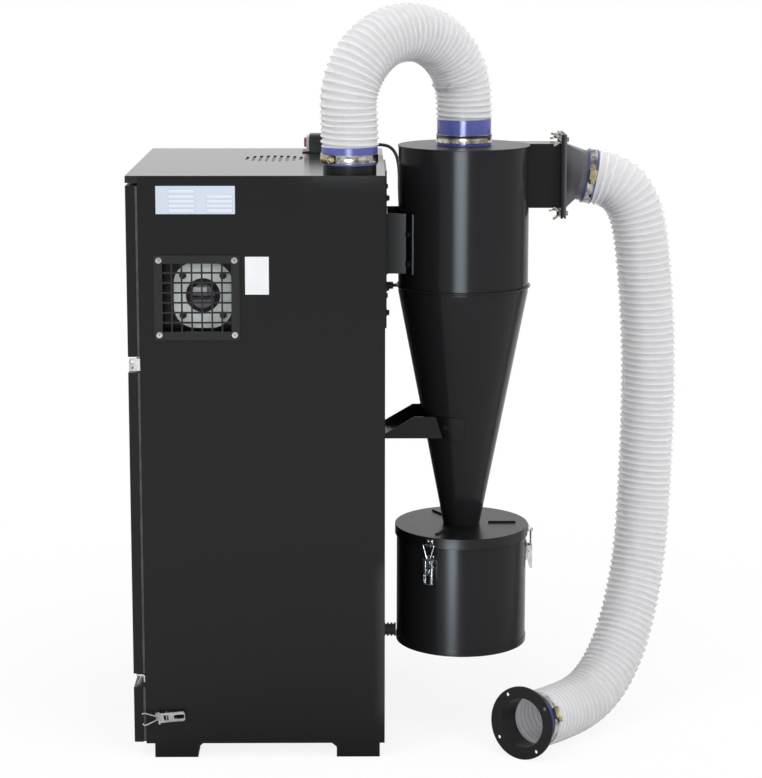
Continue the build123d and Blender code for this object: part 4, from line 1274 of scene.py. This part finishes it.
@dataclass
class Fasteners:
    """The screws and bolts that hold guard, brackets and flanges."""

    scatter: ScatterTree
    axis: Pair = (0.140, -0.042)
    guard: Point = (-0.2375, -0.2095, 0.6698)
    guard_half: float = 52.4 * MM
    face: Point = (-0.2305, -0.1870, 0.6698)
    face_half: float = 28.0 * MM
    # Radius, degrees, height and turn of the bolts in the brackets' feet.
    feet: tuple[tuple[float, float, float, float], ...] = (
        (97.3 * MM, 146.3, 0.7005, 0.3), (97.3 * MM, 146.3, 0.7435, 0.3),
        (60.0 * MM, 115.7, 0.461, 0.2),
    )
    # X, distance from the axis and height of the bolts through the mounting plate.
    plate: tuple[Point, ...] = (
        (0.027, 0.079, 0.6344), (0.027, 0.079, 0.6697), (0.027, 0.079, 0.7990),
        (0.029, 0.026, 0.7050), (0.029, 0.026, 0.7550),
    )
    flange_rows: tuple[Pair, Pair] = ((-0.0010, 0.0595), (0.7630, 0.8720))
    flange_faces: Pair = (0.285, 0.293)

    def facing(self, spot: Point, out: Point, turn: float = 0.0) -> Matrix:
        """A place whose z points outwards, turned about it."""
        z = Vector(out)
        x = Vector((0, 0, 1)).cross(z)
        return axes_to(Vector(spot), x, z) @ Matrix.Rotation(turn, 4, "Z")

    def corners(self, centre: Point, half: float, turns: Pair = (0.0, 0.0)) -> list[Matrix]:
        """Places in the corners of a square on the near side."""
        x, y, z = centre
        return [
            self.facing(
                (x + sx * half, y, z + sz * half), (0, -1, 0), turns[0] * sx + turns[1] * sz
            )
            for sx in (-1, 1)
            for sz in (-1, 1)
        ]

    def bracket_places(self) -> list[Matrix]:
        """Places in the brackets' feet and on the mounting plate, on both sides of the axis."""
        places = []
        x, y = self.axis
        for side in (-1, 1):
            for radius, degrees, z, turn in self.feet:
                out = polar(1.0, side * math.radians(degrees))
                spot = Vector((x, y, z)) + out * radius
                places.append(self.facing(spot, out, turn * side if radius > 0.09 else turn))
            for place_x, off, z in self.plate:
                places.append(self.facing((place_x, y + side * off, z), (1, 0, 0), z))
        return places

    def put(
        self, name: str, shape: FastenerShape, places: list[Matrix], finish: Finish, slot: Slot
    ) -> None:
        """Sets one kind of fastener at its places."""
        dress(self.scatter.run(name, shape.build(), places, finish), finish, slot)

    def build(self) -> None:
        """Sets them all."""
        dome = FastenerShape(Fastener.DOMED_SCREW, 4.9 * MM, 3.0 * MM)
        places = self.corners(self.guard, self.guard_half, (0.4, 0.3))
        self.put("guard_screws", dome, places, NICKEL, Slot.CHROME)
        flat = FastenerShape(Fastener.FLAT_SCREW, 4.8 * MM, 1.5 * MM)
        places = self.corners(self.face, self.face_half)
        self.put("face_screws", flat, places, BLACK_ABS, Slot.BLACK_PLASTIC)
        bolt = FastenerShape(Fastener.HEX_BOLT, 4.0 * MM, 4.0 * MM)
        places = self.bracket_places()
        self.put("bracket_bolts", bolt, places, BAKED_ENAMEL, Slot.BLACK_PAINT)
        near, far = self.flange_faces
        spots = [(y, z) for y in self.flange_rows[0] for z in self.flange_rows[1]]
        heads = [self.facing((far, y, z), (1, 0, 0), 0.1) for y, z in spots]
        nuts = [self.facing((near, y, z), (-1, 0, 0), 0.5 if y > 0 else 1.3) for y, z in spots]
        bolt = FastenerShape(Fastener.HEX_BOLT, 3.6 * MM, 3.2 * MM)
        self.put("flange_bolts", bolt, heads, ZINC_BAND, Slot.CHROME)
        nut = FastenerShape(Fastener.WING_NUT, 4.2 * MM, 11.0 * MM)
        self.put("flange_wing_nuts", nut, nuts, ZINC_BAND, Slot.CHROME)


# Pieces with a shape of their own


@dataclass
class InletFitting:
    """The inlet's flange, its square-to-round body and its drooping round end."""

    start: float = 0.290
    sheet: float = 1.5 * MM
    flange: float = 3.0 * MM
    window: Pair = (47.5 * MM, 95.0 * MM)
    overhang: Pair = (14.0 * MM, 14.5 * MM)
    radius: float = 37.5 * MM
    wall: float = 2.0 * MM
    stub: float = 17.0 * MM
    sides: int = 96
    steps: int = 10

    def angles(self) -> list[float]:
        """The angles round the inlet, the rectangle's corners among them."""
        corner = math.atan2(self.window[1], self.window[0])
        found = {2 * math.pi * step / self.sides for step in range(self.sides)}
        found |= {corner, math.pi - corner, math.pi + corner, 2 * math.pi - corner}
        return sorted(found)

    def square(self, inset: float) -> list[Vector]:
        """A loop of the rectangular end."""
        width, height = self.window
        half_y, half_z = width / 2 - inset, height / 2 - inset
        loop = []
        for angle in self.angles():
            c, s = math.cos(angle), math.sin(angle)
            reach = 0.5 / max(abs(c) / width, abs(s) / height)
            y = max(-half_y, min(half_y, reach * c))
            z = max(-half_z, min(half_z, reach * s))
            loop.append(Vector((self.start + self.flange, INLET_END[1] + y, INLET_END[2] + z)))
        return loop

    def circle(self, inset: float, along: float) -> list[Vector]:
        """A loop of the round end."""
        droop = math.radians(INLET_DROOP)
        axis = Vector((math.cos(droop), 0.0, -math.sin(droop)))
        up = Vector((math.sin(droop), 0.0, math.cos(droop)))
        origin = Vector(INLET_END) + axis * along
        radius = self.radius - inset
        return [
            origin + Vector((0, 1, 0)) * (radius * math.cos(a)) + up * (radius * math.sin(a))
            for a in self.angles()
        ]

    def body(self) -> Object:
        """The loft's outer skin and, back from its round end, the inner one."""
        loops = []
        for square_inset, round_inset, back in ((0.0, 0.0, 1), (self.sheet, self.wall, -1)):
            low, high = self.square(square_inset), self.circle(round_inset, 0.0)
            rows = [
                [a.lerp(b, step / self.steps) for a, b in zip(low, high)]
                for step in range(self.steps + 1)
            ]
            rows.append(self.circle(round_inset, self.stub))
            loops += rows[::back]
        return Shape("inlet_body").skin(loops).sharp(30.0)

    def build(self) -> None:
        """Makes the fitting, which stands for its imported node."""
        corners = [(-1, -1), (1, -1), (1, 1), (-1, 1)]
        rims = []
        for grow_y, grow_z in (self.overhang, (-self.sheet, -self.sheet)):
            half_y, half_z = self.window[0] / 2 + grow_y, self.window[1] / 2 + grow_z
            rims.append([(sy * half_y, sz * half_z) for sy, sz in corners])
        lay = at(self.start, INLET_END[1], INLET_END[2]) @ ACROSS
        plate = Shape("inlet_flange").ring(*rims, self.flange, lay)
        fitting = joined("square_to_round_inlet", [self.body(), plate.rounded(0.5 * MM)])
        dress(fitting, FITTING_ENAMEL, Slot.BLACK_PAINT, "inlet_transition")


@dataclass
class CatchHook:
    """The bent hook with its two slanted strips, in the gap over the bottom door."""

    near: float = -0.2065
    depth: float = 13.5 * MM
    strip_inset: float = 6.0 * MM
    outlines: tuple[tuple[Pair, ...], ...] = (
        (
            (-331.0, 122.6), (-331.0, 125.0), (-322.6, 125.0), (-319.6, 124.3), (-318.4, 122.2),
            (-318.4, 113.5), (-320.4, 113.5), (-320.4, 121.6), (-321.6, 122.6),
        ),
        ((-324.0, 122.8), (-322.9, 122.8), (-330.2, 107.2), (-331.3, 107.2)),
        ((-321.4, 122.8), (-320.5, 122.8), (-327.7, 107.2), (-328.6, 107.2)),
    )

    def build(self) -> None:
        """Makes the hook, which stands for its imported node."""
        parts = []
        lay = at(0, self.near + self.depth, 0) @ UPRIGHT
        for index, points in enumerate(self.outlines):
            deep = self.depth - (self.strip_inset if index else 0.0)
            parts.append(Shape(f"hook_{index}").plate(mm(*points), deep, lay).rounded(0.3 * MM))
        dress(joined("lower_catch_hook", parts), NICKEL, Slot.CHROME, "lower_catch")


@dataclass
class VentBaffle:
    """The flat sheet against the underside of the top, which shows grey through its slots."""

    low: Point = (-0.1905, -0.004, 0.8367)
    high: Point = (-0.0865, 0.100, 0.8379)

    def build(self) -> None:
        """Makes the sheet."""
        sheet = Shape("vent_baffle").block(self.low, self.high).done(smooth=False)
        dress(sheet, POWDER_COAT, Slot.BLACK_PAINT)


@dataclass
class MotorDetails:
    """The coil former and the strap in front of the motor's end."""

    centre: Point = (-0.2305, -0.1965, 0.6698)
    former: tuple[Point, Point] = ((-12.5, -6.0, 4.0), (7.0, 0.0, 14.0))
    strap: tuple[Point, Point] = ((-17.0, -7.0, -3.0), (17.0, 0.0, 1.0))

    def build(self) -> None:
        """Makes both."""
        place = at(*self.centre)
        former = Shape("coil_former").block(*mm(*self.former), place).rounded(1.5 * MM, 3)
        dress(former, PALE_ABS, Slot.PALE_PLASTIC)
        strap = Shape("motor_strap").block(*mm(*self.strap), place).rounded(1.0 * MM)
        dress(strap, BLACK_ABS, Slot.BLACK_PLASTIC)


@dataclass(frozen=True)
class ToggleLatch:
    """A toggle latch: a stamped lever on two rails, a cross pin and a wire bail.

    The place's x axis points at the keeper and its z axis out of the skin. All lengths are in
    millimetres.
    """

    name: str
    place: Matrix
    keeper_rise: float | None = None
    top: float = 8.2
    sheet: float = 1.2
    wire: float = 1.1
    front: float = 16.8
    bail_end: float = 37.0
    bail_half: float = 9.2
    rail: tuple[Pair, ...] = ((-4.6, 3.5), (15.6, 3.5), (15.6, 7.4), (-4.6, 6.5))
    bars: tuple[Pair, ...] = ((-4.6, 3.2), (5.6, 6.7), (9.6, 15.6))
    bar_half: float = 3.8
    cheek_off: float = 6.6
    rivet: tuple[Pair, ...] = ((0, 0), (1.9, 0), (1.6, 0.6), (0, 0.9))
    keeper_rivet: tuple[Pair, ...] = ((0, 0), (1.5, 0), (1.4, 0.5), (0.8, 0.9), (0, 1.0))

    def spot(self, x: float, y: float, z: float) -> Matrix:
        """A place over the skin."""
        return self.place @ at(x * MM, y * MM, z * MM)

    def lever(self) -> Object:
        """The lever: a head with two cross slots, and a tail frame round a long hole."""
        arm = Shape(self.name + "_arm")
        thick = self.sheet * MM
        for side in (-1, 1):
            rail = mm(*((x, side * y) for x, y in self.rail))
            arm.plate(rail, thick, self.spot(0, 0, self.top))
        half = self.bar_half
        for low, high in self.bars:
            bar = mm((low, -half), (high, -half), (high, half), (low, half))
            arm.plate(bar, thick, self.spot(0, 0, self.top - 0.05))
        outer = rounded_box(-12.2 * MM, 8.4 * MM, 6.1 * MM, 0.28)
        inner = rounded_box(-12.0 * MM, 7.4 * MM, 3.0 * MM, 0.4)
        arm.ring(outer, inner, thick, self.spot(0, 0, self.top + 0.1))
        cheeks = Shape(self.name + "_cheeks")
        rise = self.top + self.sheet * 0.6
        outline = mm((15.6, 1.6), (15.6, rise), (-19, rise), (-19, rise - 3), (-6, 3.4), (4, 1.6))
        for side in (-1, 1):
            place = self.spot(0, side * self.cheek_off + 0.5, 0) @ UPRIGHT
            cheeks.plate(outline, 1.0 * MM, place)
        return joined(self.name + "_lever", [arm.rounded(0.35 * MM), cheeks.rounded(0.25 * MM)])

    def base(self) -> Object:
        """The two rails and the foot under the lever, its two pins and a rivet."""
        rails = Shape(self.name + "_rails")
        for low, high in ((-5.8, -3.6), (3.6, 5.8)):
            rails.block(*mm((-8, low, 0.15), (20, high, 2.2)), self.place)
        rails.block(*mm((12, -5.8, 0.2), (22.4, 5.8, 1.6)), self.place)
        pins = Shape(self.name + "_pins")
        for x, z, half, r in ((self.front, self.top - 0.6, 9.2, 1.8), (6, 4.6, 7.8, 1.4)):
            ends = [(0, half), (r * 0.7, half), (r, half - 0.4)]
            profile = mm(*((a, -b) for a, b in ends), *reversed(ends))
            pins.lathe(profile, self.spot(x, 0, z) @ UPRIGHT.transposed(), 16)
        pins.lathe(mm(*self.rivet), self.spot(-1.2, 0, self.top + self.sheet - 0.05), 14)
        return joined(self.name + "_base", [rails.rounded(0.35 * MM), pins.sharp(45.0)])

    def bail(self) -> Object:
        """The bent wire: shut round a keeper, or with its ends turned into the skin."""
        z, end, half, start = self.top - 0.8, self.bail_end, self.bail_half, self.front - 2.4
        if self.keeper_rise is None:
            turn = [
                (end + 3.4, half - 3.2, -0.4), (end + 3.4, half - 3.0, z / 2),
                (end + 3.0, half - 1.0, z), (end, half, z), (end - 2.5, half - 0.9, z),
                (start + 3.0, 1.5, z), (start, 0.0, z),
            ]
            route = turn + [(x, -y, h) for x, y, h in reversed(turn[:-1])]
        else:
            corners = [(start, -1.2), (end, -half), (end, half), (start, 1.2)]
            route = []
            for index, (x, y) in enumerate(corners):
                before, after = corners[index - 1], corners[(index + 1) % 4]
                for (tx, ty), share in ((before, 0.12), ((x, y), 0.0), (after, 0.12)):
                    route.append((x + (tx - x) * share, y + (ty - y) * share, z))
        points = [self.place @ Vector(point) for point in mm(*route)]
        return wire(self.name + "_bail", points, self.wire * MM, self.keeper_rise is not None)

    def keeper(self) -> Object:
        """The hooked keeper plate with its rivets."""
        hook, half = self.bail_end - self.wire - 1.6, 5.5
        low, top = self.keeper_rise + 0.15, self.top + 1.2
        outline = mm(
            (hook, low), (hook + 11, low), (hook + 11, low + 1.3), (hook + 1.4, low + 1.3),
            (hook + 1.4, top - 0.6), (hook + 4.6, top + 0.3), (hook + 4.4, top + 1.5),
            (hook + 0.6, top + 1.0), (hook, top),
        )
        plate = Shape(self.name + "_hook")
        plate.plate(outline, 2 * half * MM, self.spot(0, half, 0) @ UPRIGHT)
        rivets = Shape(self.name + "_rivets")
        for side in (-1, 1):
            rivets.lathe(mm(*self.keeper_rivet), self.spot(hook + 7.5, side * 3, low + 1.3), 14)
        return joined(self.name + "_keeper", [plate.rounded(0.35 * MM), rivets.done()])

    def parts(self) -> list[Object]:
        """All the parts of one latch."""
        made = [self.lever(), self.base(), self.bail()]
        return made if self.keeper_rise is None else made + [self.keeper()]


@dataclass
class Latches:
    """The latch of the bottom door and the three that hang the bin."""

    axis: Point = (0.140, -0.042, 0.2550)
    bin_radius: float = 96.3 * MM
    keeper_rise: float = 2.5
    bin_bail_end: float = 39.0
    door_latch: Point = (-0.282, -0.207, 0.064)
    door_tilt: float = 5.0
    count: int = 3

    def build(self) -> None:
        """Makes the latches, one piece for the door and one for the bin."""
        place = axes_to(Vector(self.door_latch), Vector((-1, 0, 0)), Vector((0, -1, 0)))
        place = place @ Matrix.Rotation(math.radians(self.door_tilt), 4, "Z")
        single = joined("door_toggle_latch", ToggleLatch("door_latch", place).parts())
        dress(single, NICKEL, Slot.CHROME, "cabinet_latch")
        parts = []
        for index in range(self.count):
            out = polar(1.0, 2 * math.pi * index / self.count)
            place = axes_to(Vector(self.axis) + out * self.bin_radius, Vector((0, 0, 1)), out)
            name = f"bin_latch_{index}"
            parts += ToggleLatch(
                name, place, self.keeper_rise, bail_end=self.bin_bail_end
            ).parts()
        dress(joined("bin_toggle_latches", parts), NICKEL, Slot.CHROME, "bin_latches")


@dataclass
class Plates:
    """The two flat plates on the near side: one with empty fields, one bare."""

    scatter: ScatterTree
    face: float = -0.2073
    half_thick: float = 0.3 * MM
    # The lower left corner, width and height of each.
    ruled: tuple[float, float, float, float] = (-0.2930, 0.7865, 0.1095, 0.0390)
    bare: tuple[float, float, float, float] = (-0.1705, 0.6740, 0.0330, 0.0530)
    # The fields' columns as shares of the width, and their rows in millimetres from the top.
    columns: Pair = (0.326, 0.805)
    rows: tuple[float, ...] = (7.2, 14.6, 21.1, 27.5, 33.9)
    field_half: Pair = (17.6 * MM, 2.2 * MM)

    def plate(self, name: str, spot: tuple[float, float, float, float], finish: Finish) -> None:
        """Lays one plate."""
        x, z, width, height = spot
        low = (x, self.face - self.half_thick, z)
        high = (x + width, self.face + self.half_thick, z + height)
        obj = Shape(name).block(low, high).rounded(0.15 * MM, 1)
        dress(obj, finish, Slot.PALE_PLASTIC)

    def fields(self) -> None:
        """Prints the empty fields: a white box in a thin outline, nine times."""
        x, z, width, height = self.ruled
        spots = [
            at(x + share * width, self.face - self.half_thick, z + height - down * MM)
            for share in self.columns
            for down in self.rows
            if share < 0.5 or down > self.rows[0]
        ]
        for name, grow, rise, finish in (
            ("field_outlines", 0.35 * MM, 0.06 * MM, FIELD_LINE),
            ("field_whites", 0.0, 0.12 * MM, FIELD_WHITE),
        ):
            half = Vector((self.field_half[0] + grow, rise, self.field_half[1] + grow))
            shape = Shape(name + "_shape").block(-half, half).done(smooth=False)
            dress(self.scatter.run(name, shape, spots, finish), finish, Slot.PALE_PLASTIC)

    def build(self) -> None:
        """Lays both."""
        self.plate("fielded_plate", self.ruled, PLATE_FOIL)
        self.fields()
        self.plate("bare_plate", self.bare, WHITE_FOIL)


def main() -> None:
    """Builds the model piece by piece."""
    logging.basicConfig(level=logging.INFO, format="%(message)s")
    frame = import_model()
    Studio().build()
    scatter = ScatterTree()
    hoses = Hoses(RibTree(), scatter)
    free_ends = hoses.free_end(frame)
    hoses.free_hose()
    hoses.short_hose()
    hoses.held_ends(frame)
    ControlCable().build()
    for skin in SKINS:
        skin.build(frame)
    Fasteners(scatter).build()
    for group in (InletFitting(), CatchHook(), VentBaffle(), MotorDetails(), Latches()):
        group.build()
    Plates(scatter).build()


if __name__ == "__main__":
    main()
